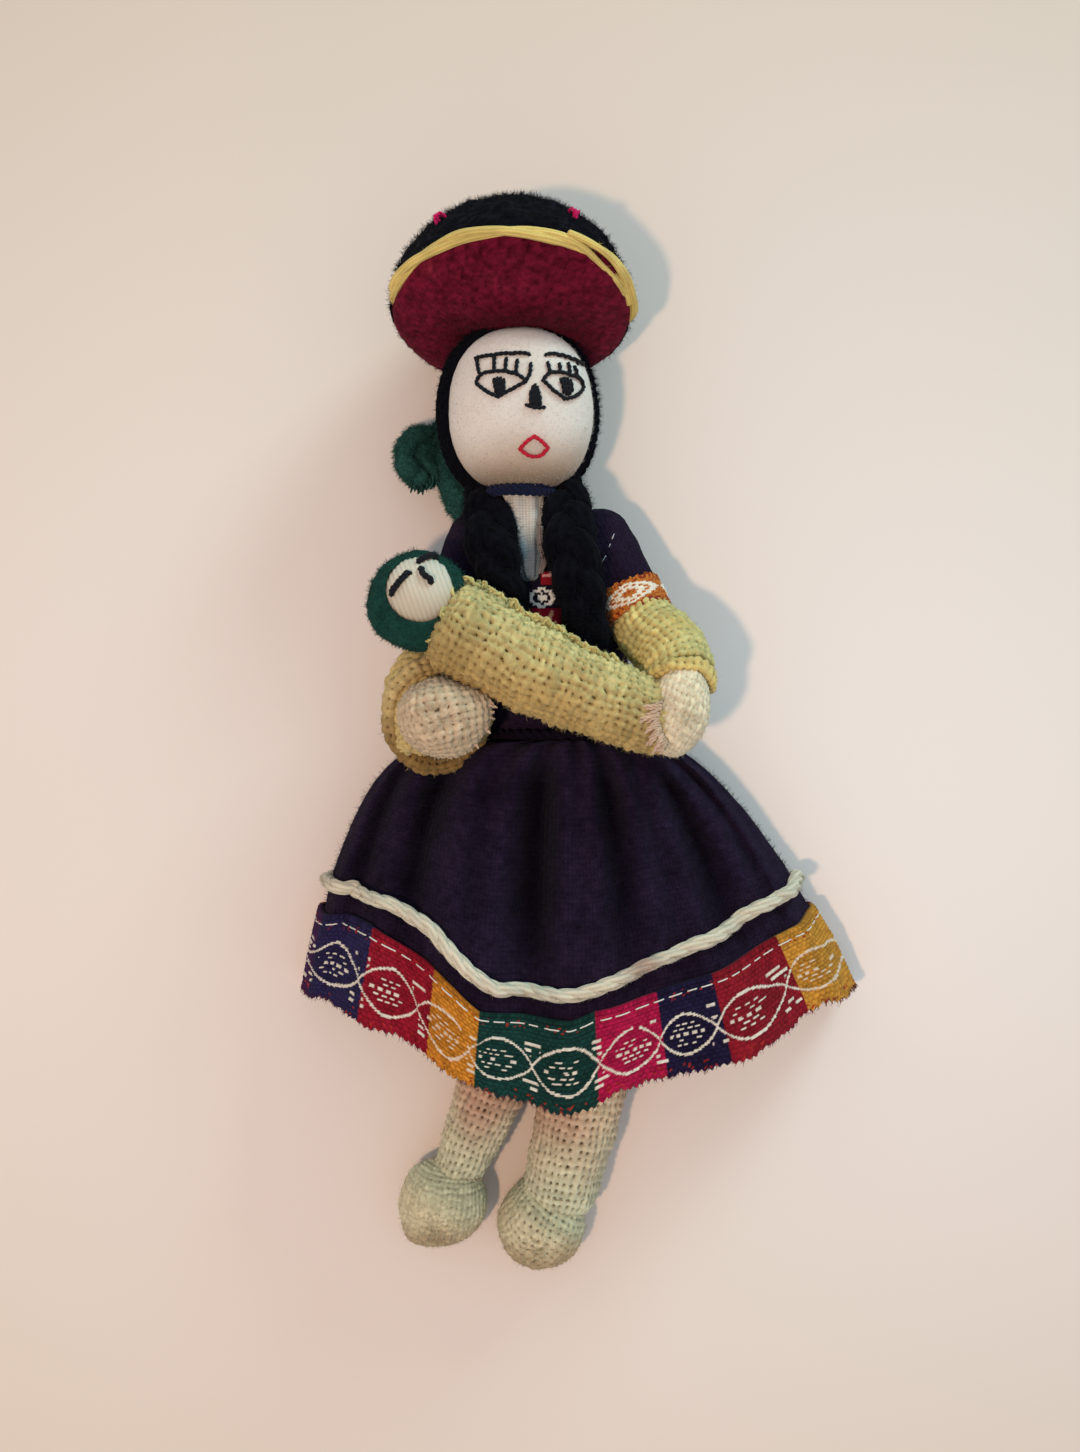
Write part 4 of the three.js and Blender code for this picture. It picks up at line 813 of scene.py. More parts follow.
HAIR_YARN, HAIR_YARNS, HAIR_STEPS = 0.72, 26, 34
for side in (-1, 1):
    root = hair_direction(side * 64, 156)
    for k in range(HAIR_YARNS):
        share = k / (HAIR_YARNS - 1)
        start = hair_direction(side * 2.0, mix(4, 128, share ** 0.9))
        over = hair_direction(side * mix(84, 30, share ** 0.8), mix(84, 138, share))
        line = unit(np.concatenate([arc(start, over, 22)[:-1], arc(over, root, 16)]))
        line = unit(spline(line[::5], HAIR_STEPS))
        lift = 0.55 + HAIR_YARN * (0.9 + 0.5 * random_of(k, 3))
        lift = lift + 0.5 * share * smooth(20, HAIR_STEPS, np.arange(HAIR_STEPS))
        path = HEAD + line * (HEAD_SIZE * fuller(line)[:, None] + lift[:, None])
        path = path + 0.18 * jitter(path, 3.0, (1 + k, 2 + k, 3 + k))
        add_yarn(mesh, path, HAIR_YARN, 2, 3.2, colour=BLACK, up=line.mean(0), step=0.55, sides=6)
# the edge of the hair round the face
turn = np.radians(np.linspace(-176, 176, 70))[:, None]
across = unit(np.cross([0, 1, 0], forward))
rim = np.sin(turn) * across + np.cos(turn) * np.cross(forward, across)
for k, (back, rise, size) in enumerate([(0.0, 0.35, 0.7), (-1.1, 0.6, 0.8), (-2.2, 0.75, 0.8)]):
    path = HEAD + forward * (HAIRLINE + back) + rim * (fuller(rim / HEAD_SIZE)[:, None] + rise)
    path = (path + 0.12 * jitter(path, 2.4, (4 + k, 5 + k, 6 + k)))[4:-4]
    add_yarn(mesh, path, size, 2, 5.0, colour=BLACK, up=forward, step=0.35, sides=12, spread=0.35, ply=0.72, strands=4)
    out = rim[4:-4]
    add_fuzz(mesh, path + out * size * 0.6, unit(out + 0.4 * forward), 1.5, 0.035, BLACK * 1.6, 20 + k, count=1800)
piece(mesh, "hair_yarns", wool, "head", ["hair_cap"])

# Hat

HAT_TILT = math.radians(22.5)
hat_axis = np.array([0, math.cos(HAT_TILT), -math.sin(HAT_TILT)])
hat_up = np.array([0, math.sin(HAT_TILT), math.cos(HAT_TILT)])
HAT_R, HAT_H, FELT = 21.8, 19.0, 1.6
hat_centre = HEAD + hat_axis * (HEAD_SIZE[1] + 1.0) + hat_up * 7.8 + np.array([-1.5, 0, 0])


def hat_point(radius, height, angle):
    """A point by its distance from the hat's axis, its height along it and the angle from the top of the picture."""
    radius, height, angle = np.broadcast_arrays(np.asarray(radius, float), height, angle)
    return (hat_centre + height[..., None] * hat_axis + (radius * np.cos(angle))[..., None] * hat_up
            + (radius * np.sin(angle))[..., None] * np.array([1.0, 0, 0]))


def dome(less, lean, cols):
    """The crown, or its inner face that is `less` smaller. `lean` goes from the rim, at 0, to the top."""
    radius, height = (HAT_R - less) * np.cos(lean), (HAT_H - less) * np.sin(lean)
    return hat_point(radius[:, None], height[:, None], circle(cols)[None, :])


lean = np.radians(np.linspace(0, 88.5, 120))
P = dome(0, lean, 420)
N = outward(P)
P = P + N * (0.42 * fractal(P, 1.7, 12, 2) + 0.55 * fractal(P, 6.0, 14))[..., None]
shade = (0.9 + 1.6 * smooth(-0.1, 0.8, fractal(P, 1.2, 15)))[..., None]
mesh = Mesh()
add_shell(mesh, P, BLACK * shade, dome(FELT, lean[::-10], 420), BLACK, (0.4, 0.4))
add_fuzz(mesh, P, N, 1.2, 0.04, BLACK * 2.0, 31, count=16000)
hat = piece(mesh, "hat_crown_felt", felt, "head", ["hat_crown", "hat_stuffing"])

# The felt disc is pressed over the head and puffs up between the head and the rim.
COLS = 340
FELT_R = HAT_R + 0.15
felt_r, felt_a = FELT_R * np.linspace(0.02, 1, 76)[:, None], circle(COLS)[None, :]
rise, aside = felt_r * np.cos(felt_a), felt_r * np.sin(felt_a)
puff = 4.3 * (1 - (felt_r / (HAT_R + 0.2)) ** 6) ** 0.55
puff = puff + 2.4 * np.exp(-(((rise - 7) / 6.5) ** 2) - ((aside - 1.5) / 12) ** 2)
base = hat_point(felt_r, 0.9, felt_a)
# how far down the felt can puff before it meets the head
reach = HEAD_SIZE + 0.7
q, d = (base - HEAD) / reach, -hat_axis / reach
b, c = (q * d).sum(-1), (q * q).sum(-1) - 1
inside = b * b - (d @ d) * c
clear = np.where(inside > 0, (-b - np.sqrt(np.maximum(inside, 0))) / (d @ d), 50.0)
puff = -np.log(np.exp(-puff / 0.7) + np.exp(-np.maximum(clear, 0.2) / 0.7)) * 0.7
puff = np.maximum(puff, 0.1) * smooth(1.0, 0.965, felt_r / FELT_R)
P = base - puff[..., None] * hat_axis
N = outward(P)
N = np.where(((N @ hat_axis) > 0)[..., None], -N, N)
P = P + N * (0.3 * fractal(P, 5.0, 17) + 0.10 * fractal(P, 0.9, 18))[..., None]
Q = hat_point(felt_r * 0.93, 1.7, felt_a)[::-8]
grain = fractal(P, 0.8, 19)
# painted shade: the felt is darker where it puffs in against the head, and painted light makes it a little lighter
# towards the doll's right
deep = smooth(9.0, 1.0, np.hypot(rise + 4, aside - 1.5) - 9)
tone = (0.92 + 0.85 * grain + 0.12 * noise3(P, 6, 20)) * (1 - 0.42 * deep) * (1 + 0.04 * smooth(2, -18, aside))
warm = mix(WINE, linear("6e1d2a"), smooth(0.1, 0.9, noise3(P, 5.0, 28))[..., None] * 0.6)
mesh = Mesh()
add_shell(mesh, P, warm * tone[..., None], Q, WINE, (0.4, 0.29))
add_fuzz(mesh, P, N, 0.7, 0.03, WINE * 1.25, 33, count=9000)
underside = piece(mesh, "hat_underside_felt", wine_felt, "head", ["hat_underside"])

# The edging yarn starts beside the doll's left temple, goes round the rim and laps over its own start.
turn = np.linspace(80, -334, 240)
behind = smooth(-66, -94, turn) * smooth(-276, -252, turn)
started, lapped = smooth(24, 50, turn), smooth(-285, -312, turn)
radius = HAT_R + 0.1 - 0.85 * started + 0.85 * lapped - 1.2 * behind
height = 2.1 * behind - 0.5 * started + 0.65 * lapped + 0.1 * smooth(-236, -260, turn) * smooth(-300, -275, turn)
thick = 1.12 - 0.30 * smooth(18, 50, turn) - 0.28 * smooth(-270, -300, turn)
path = hat_point(radius, height, np.radians(turn))
path = path + 0.2 * jitter(path, 5.0, (21, 22, 23))
mesh = Mesh()
add_yarn(mesh, path, thick, 2, 34.0, colour=YELLOW, up=hat_axis, sides=24, spread=0.40, ply=0.66, strands=7)
add_fuzz(mesh, path, unit(path - hat_centre), 1.2, 0.035, YELLOW, 35, count=900)
piece(mesh, "hat_edging_yarn", yarn_cloth, "head", ["hat_edge_yarn"])

for side, angle in (("left", 33.0), ("right", -39.0)):
    mesh = Mesh()
    t = np.linspace(0, 1, 12)
    for bend, low, high in ((-0.02, 22, 28.5), (0.012, 20.5, 28), (0.04, 23, 27)):
        lean = np.radians(mix(low, high, t))
        rise = 0.65 + 0.35 * np.sin(np.pi * t) - 0.9 * (2 * t - 1) ** 6
        path = hat_point((HAT_R + rise) * np.cos(lean), (HAT_H + rise) * np.sin(lean),
                         math.radians(angle) + bend * (0.3 + t))
        add_yarn(mesh, path, 0.3, 2, 2.0, colour=PINK, up=hat_axis, step=0.2, sides=6)
    piece(mesh, f"hat_mark_{side}", yarn_cloth, "head", [f"hat_stitch_{side}"])

# Neck

NECK = np.array([HEAD[0], HEAD[1] - HEAD_SIZE[1], HEAD[2]])
mesh = Mesh()
a = circle(60)
for k, (dy, reach) in enumerate([(0.75, 5.9), (-0.45, 6.0), (0.1, 6.45)]):
    path = np.stack([NECK[0] + reach * np.cos(a), NECK[1] + dy + 0.12 * np.sin(3 * a + k),
                     NECK[2] + reach * np.sin(a)], 1)
    add_yarn(mesh, path, 0.62, 2, 2.4, closed=True, colour=NAVY, up=(0, 1, 0), step=0.35)
piece(mesh, "neck_tie_yarn", yarn_cloth, "neck", ["neck_tie"])

TORSO_FRONT = 22.3
P = soft_form([
    [NECK[0], NECK[1] - 0.4, NECK[2] - 0.4, 4.3, 4.3],
    [NECK[0] + 0.2, NECK[1] - 6.0, 20.6, 4.3, 3.6],
    [NECK[0] + 1.0, NECK[1] - 11.0, TORSO_FRONT - 0.6, 2.9, 2.2],
    [NECK[0] + 1.6, NECK[1] - 15.4, TORSO_FRONT + 0.1, 1.7, 1.2],
], 60, 80, 0.4)
P = P + outward(P) * (0.21 * np.cos(9 * circle(80))[None, :, None] + 0.35 * fractal(P, 3.0, 24)[..., None])
grey = smooth(NECK[1] - 4.5, NECK[1] - 11, P[..., 1])[..., None]
mesh = Mesh()
add_grid(mesh, P, mix(linear("cbc3b6"), linear("6f7a80"), grey), uv=(0.3, 0.25))
loose = np.array([at_pixel(x, y, TORSO_FRONT + 2.4) for x, y in ((541, 527), (540, 545), (544, 560), (541, 573))])
for k in range(6):
    line = spline(loose + np.array([0.35 * math.cos(k * 1.1), 0, 0.3 * math.sin(k * 1.1)]), 24)
    add_tube(mesh, line + 0.15 * jitter(line, 2.0, (30 + k, 31 + k, 32 + k)), 0.16, 5, linear("85766f"))
piece(mesh, "throat_cloth", throat_cloth, "torso", ["neck"])

# Bodice

WALL = 1.5
TORSO = [[-9.4, 36.0, 11.6, 10.66, 8.28], [-5.64, 20.4, 11.6, 13.0, 9.2], [0, -3.0, 12.6, 12.5, 8.832]]
P = soft_form([[x, y, z, w + WALL, h + WALL] for x, y, z, w, h in TORSO], 90, 150, 0.5, 9)
P[..., 1] = np.where(P[..., 1] > 36, 36 + (P[..., 1] - 36) * 0.8, P[..., 1])
fold = 0.5 * np.sin(2 * np.pi * (P[..., 0] * 0.16 + 0.4 * noise3(P, 9.0, 26))) * smooth(30, 4, P[..., 1])
P = P + outward(P) * (0.3 * fractal(P, 7.0, 25) + 0.5 * fold)[..., None]
P[..., 2] = np.maximum(P[..., 2], 0.35)
mesh = Mesh()
add_grid(mesh, P, PURPLE * (1.5 + 0.4 * fractal(P, 5.0, 27))[..., None], uv=(0.55, np.append(row_lengths(P), 0)))
bodice_tree = tree_of(piece(mesh, "bodice_cloth", dark_cloth, "torso",
                            ["bodice", "torso_cover", "torso_stuffing"]))

# Woven panel down the front: a white ring and diamond on black above pink strokes on red


def segment_distance(x, y, ax, ay, bx, by):
    """How far places lie from a straight line between two others."""
    t = np.clip(((x - ax) * (bx - ax) + (y - ay) * (by - ay)) / ((bx - ax) ** 2 + (by - ay) ** 2), 0, 1)
    return np.hypot(x - ax - t * (bx - ax), y - ay - t * (by - ay))


PANEL_ROWS, PANEL_COLS = 96, 60
PANEL_PX = np.array([[(520, 570), (553, 560)], [(531, 648), (566, 640)]], float)
THREAD_U, THREAD_V = 1.6, 2.6  # the panel's threads in pixels of the photograph
grid = np.zeros((PANEL_ROWS, PANEL_COLS, 3))
for r, c in np.ndindex(PANEL_ROWS, PANEL_COLS):
    left, right = mix(PANEL_PX[0], PANEL_PX[1], r / (PANEL_ROWS - 1))
    u, v = mix(left, right, c / (PANEL_COLS - 1))
    grid[r, c] = np.array(bodice_tree.ray_cast(CAMERA_AT, Vector(ray(u, v)))[0]) / MM - OFFSET
X, Y = pixel_of(grid)
cx, cy = (np.floor(X / THREAD_U) + 0.5) * THREAD_U, (np.floor(Y / THREAD_V) + 0.5) * THREAD_V
flower = np.abs(np.hypot((cx - 542) / 12.0, (cy - 598) / 9.0) - 0.9) < 0.16
heart = np.abs(cx - 542) / 6.5 + np.abs(cy - 598) / 4.6 < 1.0
lower = cy > 609
strokes = (segment_distance(cx, cy, 552, 614, 542, 634) < 2.2) | (segment_distance(cx, cy, 556, 622, 548, 640) < 1.4)
square = (cy < 586) & (cx > 541) & (cy > 572)
raised = (flower | heart) & ~lower
colours = np.broadcast_to(linear("16131f"), grid.shape).copy()
for where, tone in ((lower, "8c1428"), (square, "8a1a26"), (lower & strokes, "d8977c"),
                    (square & (segment_distance(cx, cy, 544, 577, 552, 574) < 1.5), "d8a0a0"), (raised, "d9d6cf")):
    colours[where] = linear(tone)
lift = 0.55 + 0.12 * np.abs(np.sin(X * np.pi / THREAD_U)) + 0.14 * (raised | (lower & strokes))
P = grid + np.array([0, 0, 1.0]) * lift[..., None]
flip = np.cross(P[0, 1] - P[0, 0], P[1, 0] - P[0, 0])[2] < 0
mesh = Mesh()
back = grid[::-12] - np.array([0, 0, 0.1])
add_shell(mesh, P, colours, back, colours[::-12], (0.15, 0.15), closed_u=False, flip=flip)
piece(mesh, "chest_panel_weave", band_cloth, "torso", ["chest_panel"])

# Braids

BRAID_Z = TORSO_FRONT + 2.6
BRAID_PITCH, BRAID_SIDES = 19.0, 44


def braid(side, stops, width, seed):
    """Three thick strands of soft wool, plaited. The stops are pixels and heights, and `width` the width along it."""
    line = spline([at_pixel(*stop) for stop in stops], 220)
    _, A, B = frames_of(line)
    s = path_lengths(line)
    w = np.interp(s / s[-1], np.linspace(0, 1, len(width)), width)
    mesh = Mesh()
    a = circle(BRAID_SIDES)
    for k in range(3):
        t = 2 * np.pi * (s / BRAID_PITCH + k / 3) + 0.4 * seed
        core = line + A * (0.20 * w * np.sin(t))[:, None] + B * (0.12 * w * np.sin(2 * t))[:, None]
        _, e1, e2 = frames_of(core)
        ring = np.cos(a)[None, :, None] * e1[:, None] + np.sin(a)[None, :, None] * e2[:, None]
        P = core[:, None] + ring * (0.30 * w)[:, None, None]
        lumps = 0.35 * fractal(P, 3.0, seed + k) + 0.16 * fractal(P, 0.9, seed + k + 5)
        streak = 0.10 * np.sin(11 * a[None, :] + 0.9 * s[:, None] + 3 * noise3(P, 4.0, seed + 9))
        P = P + ring * (lumps + streak)[..., None]
        # the colour follows the streaks' relief: painted shade in their grooves, painted highlight on their ridges,
        # over patches of random tone
        shade = 1.0 + 0.9 * np.clip(fractal(P, 1.2, seed + 12), -0.5, 1) + 1.5 * streak
        add_grid(mesh, P, BLACK * shade[..., None], uv=(0.5, s))
        add_fuzz(mesh, P, ring, 1.5, 0.035, BLACK * 2.2, seed + k, count=3000)
    piece(mesh, f"braid_wool_{side}", wool, "torso", [f"braid_{side}"])


braid("right", [(487, 478, 16.5), (489, 512, 21.5), (492, 545, BRAID_Z + 1.0), (502, 585, BRAID_Z + 0.6),
                (517, 622, BRAID_Z - 1.4)], [7.5, 9.2, 9.8, 8.2, 6.2], 40)
braid("left", [(562, 480, 16.0), (567, 510, 21.0), (571, 545, BRAID_Z + 1.0), (580, 590, BRAID_Z + 0.8),
               (592, 645, BRAID_Z - 1.0)], [7.0, 9.4, 9.8, 9.0, 6.6], 50)

# Shawl


def add_felt(mesh, stops, colour, seed, knobs, fuzz, crease=0.0):
    """Adds a soft lump of felt along a path. `crease` is how deep a fold runs along it."""
    cols = 130
    P = soft_form(stops, 90, cols, 0.7)
    N = outward(P)
    P = P + N * (knobs * fractal(P, 1.6, seed) + 0.4 * fractal(P, 5.0, seed + 1))[..., None]
    off_fold = np.angle(np.exp(1j * (circle(cols) - 1.9)))
    P = P - N * (crease * np.exp(-((off_fold / 0.25) ** 2)))[None, :, None]
    P[..., 2] = np.maximum(P[..., 2], 0.3)
    add_grid(mesh, P, colour * (0.85 + 0.4 * fractal(P, 2.0, seed + 2))[..., None], uv=(0.5, 0.5))
    add_fuzz(mesh, P, N, 1.1, 0.045, colour * 1.3, seed, count=fuzz)


mesh = Mesh()
add_felt(mesh, [
    [-26.6, 56.4, 7.2, 2.4, 3.2],
    [-29.0, 54.4, 8.2, 3.7, 4.4],
    [-29.2, 51.4, 8.8, 3.5, 4.2],
    [-27.4, 49.4, 9.0, 3.0, 3.0],
], SHAWL, 60, 0.75, 5000, crease=1.2)
add_felt(mesh, [
    [-24.8, 57.6, 5.8, 2.4, 2.8],
    [-23.0, 52.6, 7.2, 3.2, 3.4],
    [-21.2, 47.3, 9.4, 3.4, 3.6],
    [-19.4, 42.6, 12.2, 3.2, 3.2],
    [-17.6, 39.0, 14.0, 2.6, 2.6],
], SHAWL * 1.05, 66, 0.7, 4500)
for k in range(26):  # torn ends of the cloth
    start = np.array([-30.6 + 0.27 * k, 48.6 - 0.5 * math.sin(k * 0.2), 8.8 + 1.6 * math.sin(k * 2.2)])
    end = start + np.array([0.6 * math.sin(k * 1.7), -1.1 - 1.3 * float(random_of(k, 61)), 0.4 * math.cos(k * 1.3)])
    tone = np.broadcast_to(SHAWL * (0.55 + 0.4 * float(random_of(k, 62))), (12, 3))
    add_tube(mesh, spline([start, mix(start, end, 0.6) + np.array([0.2, 0, 0.2]), end], 12),
             np.linspace(0.42, 0.16, 12), 7, tone, strands=3, lay=2.0)
piece(mesh, "shawl_knot_felt", felt, "torso", ["shawl_knot"])

# Woven stuffed limbs


def woven_form(name, stops, pitch, amount, tint, body, slot, replaces, seed, fuzz, roundness, per=6.5, wrinkle=0.4,
               **cloth):
    """A stuffed form covered in a coarse woven cloth with its threads modelled. `tint` gives each point its colour,
    `pitch` is the width of a thread and `per` the points across it."""
    base = soft_form(stops, 40, 52, roundness)
    base = settle(base + outward(base) * (0.2 * fractal(base, 5.0, seed + 4))[..., None])
    around = np.linalg.norm(np.roll(base, -1, 1) - base, axis=2).sum(1).max()
    threads = 2 * max(4, round(around / pitch / 2))
    cols = int(threads * per)
    rows = int(row_lengths(base)[-1] / pitch * per)
    P, along = refine(base, rows, cols)
    N = outward(P)
    P = P + N * (wrinkle * fractal(P, 6.0, seed + 9))[..., None]
    colour = tint(P)
    u, v = np.broadcast_arrays(np.arange(cols)[None, :] / cols * threads, (along / pitch)[:, None])
    Q, colours = woven(P, N, u, v, amount, colour, seed, **cloth)
    mesh = Mesh()
    add_grid(mesh, Q, colours, uv=(threads * pitch / cols, np.append(along, along[-1])))
    add_fuzz(mesh, Q, N, 1.0, 0.032, colour.reshape(-1, 3).mean(0) * 1.1, seed, count=fuzz)
    return piece(mesh, name, coarse_cloth, body, replaces), Q, N


def axes_of(pole):
    """Two directions square to a pole: across it and up from it."""
    side = unit(np.cross([0, 1, 0.01], pole))
    return side, np.cross(pole, side)


def round_pole(lean, turn, pole, side, up):
    """Directions that lean away from a pole, at angles round it."""
    return ((np.cos(lean) * np.ones_like(turn))[..., None] * pole + (np.sin(lean) * np.cos(turn))[..., None] * side
            + (np.sin(lean) * np.sin(turn))[..., None] * up)


def ball_form(centre, half, turn, pitch, amount, colour, seed, pole, fuzz, dents, gather=0.5, grain=0.0, tint=None,
              **cloth):
    """A stuffed ball of woven cloth that is drawn together at its back. Its cloth lies square at the pole, and its
    threads are turned there by `grain` degrees."""
    pole = unit(np.asarray(pole, float))
    size, half, per = float(np.mean(half)), np.asarray(half, float), 6.0
    rows, cols = int(np.pi * size / pitch * per), int(2 * np.pi * size / pitch * per * 0.8)
    lean, psi = np.linspace(0.015, 0.985, rows)[:, None] * np.pi, circle(cols)[None, :]
    D = round_pole(lean, psi, pole, *axes_of(pole))
    c, s = math.cos(math.radians(turn)), math.sin(math.radians(turn))
    local = np.stack([D[..., 0] * c + D[..., 1] * s, -D[..., 0] * s + D[..., 1] * c, D[..., 2]], -1) * half
    P = np.asarray(centre) + np.stack(
        [local[..., 0] * c - local[..., 1] * s, local[..., 0] * s + local[..., 1] * c, local[..., 2]], -1)
    coarse = P[:: max(1, rows // 30), :: max(1, cols // 44)]
    P = P + upsample(settle(coarse) - coarse, rows, cols)
    N = outward(P)
    P = P + N * (dents * noise3(P, 6.5, seed + 21))[..., None]
    pleat = gather * np.cos(17 * psi + 1.1 * np.sin(3 * psi)) * smooth(1.9, 2.9, lean)
    P = P + N * (pleat + 0.25 * fractal(P, 5.0, seed + 9))[..., None]
    N = outward(P)
    u, v = (size * lean * f(psi + math.radians(grain)) / pitch + 40 for f in (np.cos, np.sin))
    Q, colours = woven(P, N, u, v, amount, colour if tint is None else tint(P), seed, **cloth)
    mesh = Mesh()
    add_grid(mesh, Q, colours, uv=(0.3, 0.3))
    add_fuzz(mesh, Q, N, 1.0, 0.035, colour * 1.1, seed, count=fuzz)
    return mesh


# Arms

SHOULDER_Z = 13.2
CUFF_R, CUFF_CELL, CUFF_MIDDLE = 6.3, 0.36, 2.7


def arm(side, name, reach, elbow, wrist, bow, lower, tone, seed):
    """A sleeve, its cuff band and the forearm. `side` is 1 for the doll's left, and `bow` bends the forearm out."""
    shoulder, elbow, wrist = np.array([-9.21 + side * reach, 36.5, SHOULDER_Z]), np.array(elbow), np.array(wrist)
    direction = unit(elbow - shoulder)
    cuff_start = elbow - direction * 5.2
    # sleeve
    P = soft_form([[*shoulder, 6.0, 6.2], [*mix(shoulder, cuff_start, 0.5), 6.3, 6.1], [*cuff_start, 6.2, 5.8],
                   [*(cuff_start + direction * 1.4), 6.3, 5.8]], 70, 110, 0.9)
    ridges = 0.18 * np.cos(7 * circle(110))[None] * smooth(20, 60, np.arange(len(P)))[:, None]
    P = P + outward(P) * (0.35 * fractal(P, 6.0, seed) + ridges)[..., None]
    mesh = Mesh()
    add_grid(mesh, P, PURPLE * (1.3 + 0.4 * fractal(P, 5.0, seed + 1))[..., None], uv=(0.36, 0.3))
    sleeve = piece(mesh, f"sleeve_cloth_{name}", dark_cloth, "arms", [f"sleeve_{name}"])
    # cuff band: white ovals on orange
    a, t = circle(280)[None, :], np.linspace(-0.1, 5.5, 44)[:, None]
    A = unit(np.cross(direction, [0, 0, 1.0]))
    B = unit(np.cross(A, direction))
    ring = np.cos(a)[..., None] * A + np.sin(a)[..., None] * B
    P = cuff_start + t[..., None] * direction + ring * (6.35 + 0.25 * np.sin(t / 5.4 * np.pi))[..., None]
    arc_mm, along = np.broadcast_arrays(a * CUFF_R, t)
    cell_u, cell_v = np.floor(arc_mm / CUFF_CELL), np.floor(along / CUFF_CELL)
    cu, cv = (cell_u + 0.5) * CUFF_CELL, (cell_v + 0.5) * CUFF_CELL - CUFF_MIDDLE
    phase = ((cu - CUFF_R * np.pi / 2) / (2 * np.pi * CUFF_R / 3) + 0.5) % 1 - 0.5
    oval = np.abs(phase) / 0.45 + (np.abs(cv) / 2.0) ** 1.4
    white = (np.abs(oval - 0.88) < 0.17) | (np.abs(oval - 0.42) < 0.13)
    edge = np.abs(along - CUFF_MIDDLE) > 1.9
    colours = np.broadcast_to(linear("b8692a"), P.shape).copy()
    for where, colour in ((edge & (random_of(cell_u + 3 * cell_v, seed) > 0.5), "83301c"),
                          (~edge & (random_of(cell_u + 5 * cell_v, seed + 1) > 0.75), "9a4a22"), (white, "ddcfb9")):
        colours[where] = linear(colour)
    colours = colours * (0.88 + 0.24 * random_of(cell_u * 3 + cell_v, seed + 7))[..., None]
    lumps = 0.16 * np.abs(np.sin(np.pi * arc_mm / 0.5)) + 0.12 * white
    lumps = lumps + 0.3 * edge * random_of(cell_u + 9 * cell_v, seed + 2)
    P = P + ring * lumps[..., None]
    uneven = edge * (random_of(cell_u, seed + 4) - 0.5) * 0.5
    P = P + uneven[..., None] * direction * np.sign(t - CUFF_MIDDLE)[..., None]
    inner = cuff_start + t[::-6, :, None] * direction + ring * 5.5
    mesh = Mesh()
    add_shell(mesh, P, colours, inner, linear("7a3a22"), (0.2, 0.2))
    piece(mesh, f"cuff_weave_{name}", band_cloth, "arms", [f"cuff_{name}"])
    # forearm
    bowed = mix(elbow, wrist, 0.6) + np.array([side * bow, 0, 0])
    woven_form(f"forearm_weave_{name}", [
        [*(elbow - direction * 3.0), 5.0], [*mix(elbow, wrist, 0.18), 5.6], [*bowed, lower], [*wrist, lower * 0.97],
    ], 1.6, 0.5, lambda P: mix(tone, MUSTARD, smooth(-0.6, 0.8, noise3(P, 6.0, seed))[..., None]),
        "arms", "mustard_weave", [f"forearm_{name}"], seed + 10, 1400, 0.35)
    return sleeve


left_sleeve = arm(1, "left", 14.6, [12.2, 21.8, 17.6], [19.5, 11.2, 27.4], 1.0, 5.8, MUSTARD_GREEN, 70)
arm(-1, "right", 7.6, [-22.6, 18.6, 13.0], [-24.4, -0.2, 22.0], 3.0, 6.8, MUSTARD_BROWN, 90)


def rolled_edge(side, centre, facing, half, thick, pitch, tint, seed):
    """The turned-back end of a sleeve: a roll of coarse cloth round an opening that faces one way."""
    facing = unit(np.asarray(facing, float))
    e1, e2 = axes_of(facing)
    length = 2 * np.pi * float(np.mean(half))
    rows = int(length / pitch * 6)
    threads = 2 * max(2, round(2 * np.pi * thick / pitch / 2))
    turn, a = circle(rows)[:, None], circle(threads * 7)[None, :]
    out = np.cos(turn)[..., None] * e1 + np.sin(turn)[..., None] * e2
    middle = np.asarray(centre) + np.cos(turn)[..., None] * e1 * half[0] + np.sin(turn)[..., None] * e2 * half[1]
    middle = middle + facing * (0.7 * noise3(middle, 6.0, seed))[..., None]
    P = middle + thick * (np.cos(a)[..., None] * out + np.sin(a)[..., None] * facing * 1.25)
    P = P + (P - middle) * (0.35 * fractal(P, 3.0, seed + 1))[..., None]
    N = unit(P - middle)
    tone = tint(P)
    u, v = np.broadcast_arrays(a / (2 * np.pi) * threads, turn / np.pi * round(length / pitch / 2))
    Q, colours = woven(P, N, u, v, 0.42, tone, seed)
    mesh = Mesh()
    add_grid(mesh, Q, colours, uv=(0.25, 0.25), closed_v=True,
             flip=np.cross(Q[0, 1] - Q[0, 0], Q[1, 0] - Q[0, 0]) @ N[0, 0] < 0)
    add_fuzz(mesh, Q, N, 1.1, 0.04, tone.reshape(-1, 3).mean(0), seed, count=320)
    piece(mesh, f"forearm_roll_{side}", coarse_cloth, "arms")


def right_roll_tint(P):
    """Browner towards the feet."""
    share = smooth(7.0, -4.0, P[..., 1] + 2 * noise3(P, 6.0, 312))
    return mix(MUSTARD_BROWN, linear("7d6034"), share[..., None])


rolled_edge("left", [19.5, 10.3, 29.2], [-0.1, -0.85, 0.5], (4.9, 5.0), 0.9, 1.4, lambda P: MUSTARD * 0.95, 301)
rolled_edge("right", at_pixel(436, 716, 22.5), [0.1, -0.2, 1.0], (8.3, 9.2), 1.5, 1.6, right_roll_tint, 311)

# Running stitches of white thread on the left sleeve
sleeve_tree = tree_of(left_sleeve)
mesh = Mesh()
for ends in ([(614, 534), (612, 539)], [(610.5, 544), (609, 547)], [(606, 556), (601.5, 563)],
             [(600.5, 565), (598.5, 571)]):
    ends.insert(1, tuple(np.mean(ends, axis=0)))
    add_stitches(mesh, sleeve_tree, ends, 0.10, 3.0, linear("b9b5b8"), 0.08, 5, (606, 552))
piece(mesh, "sleeve_stitches_left", thread_cloth, "arms")

# Hands

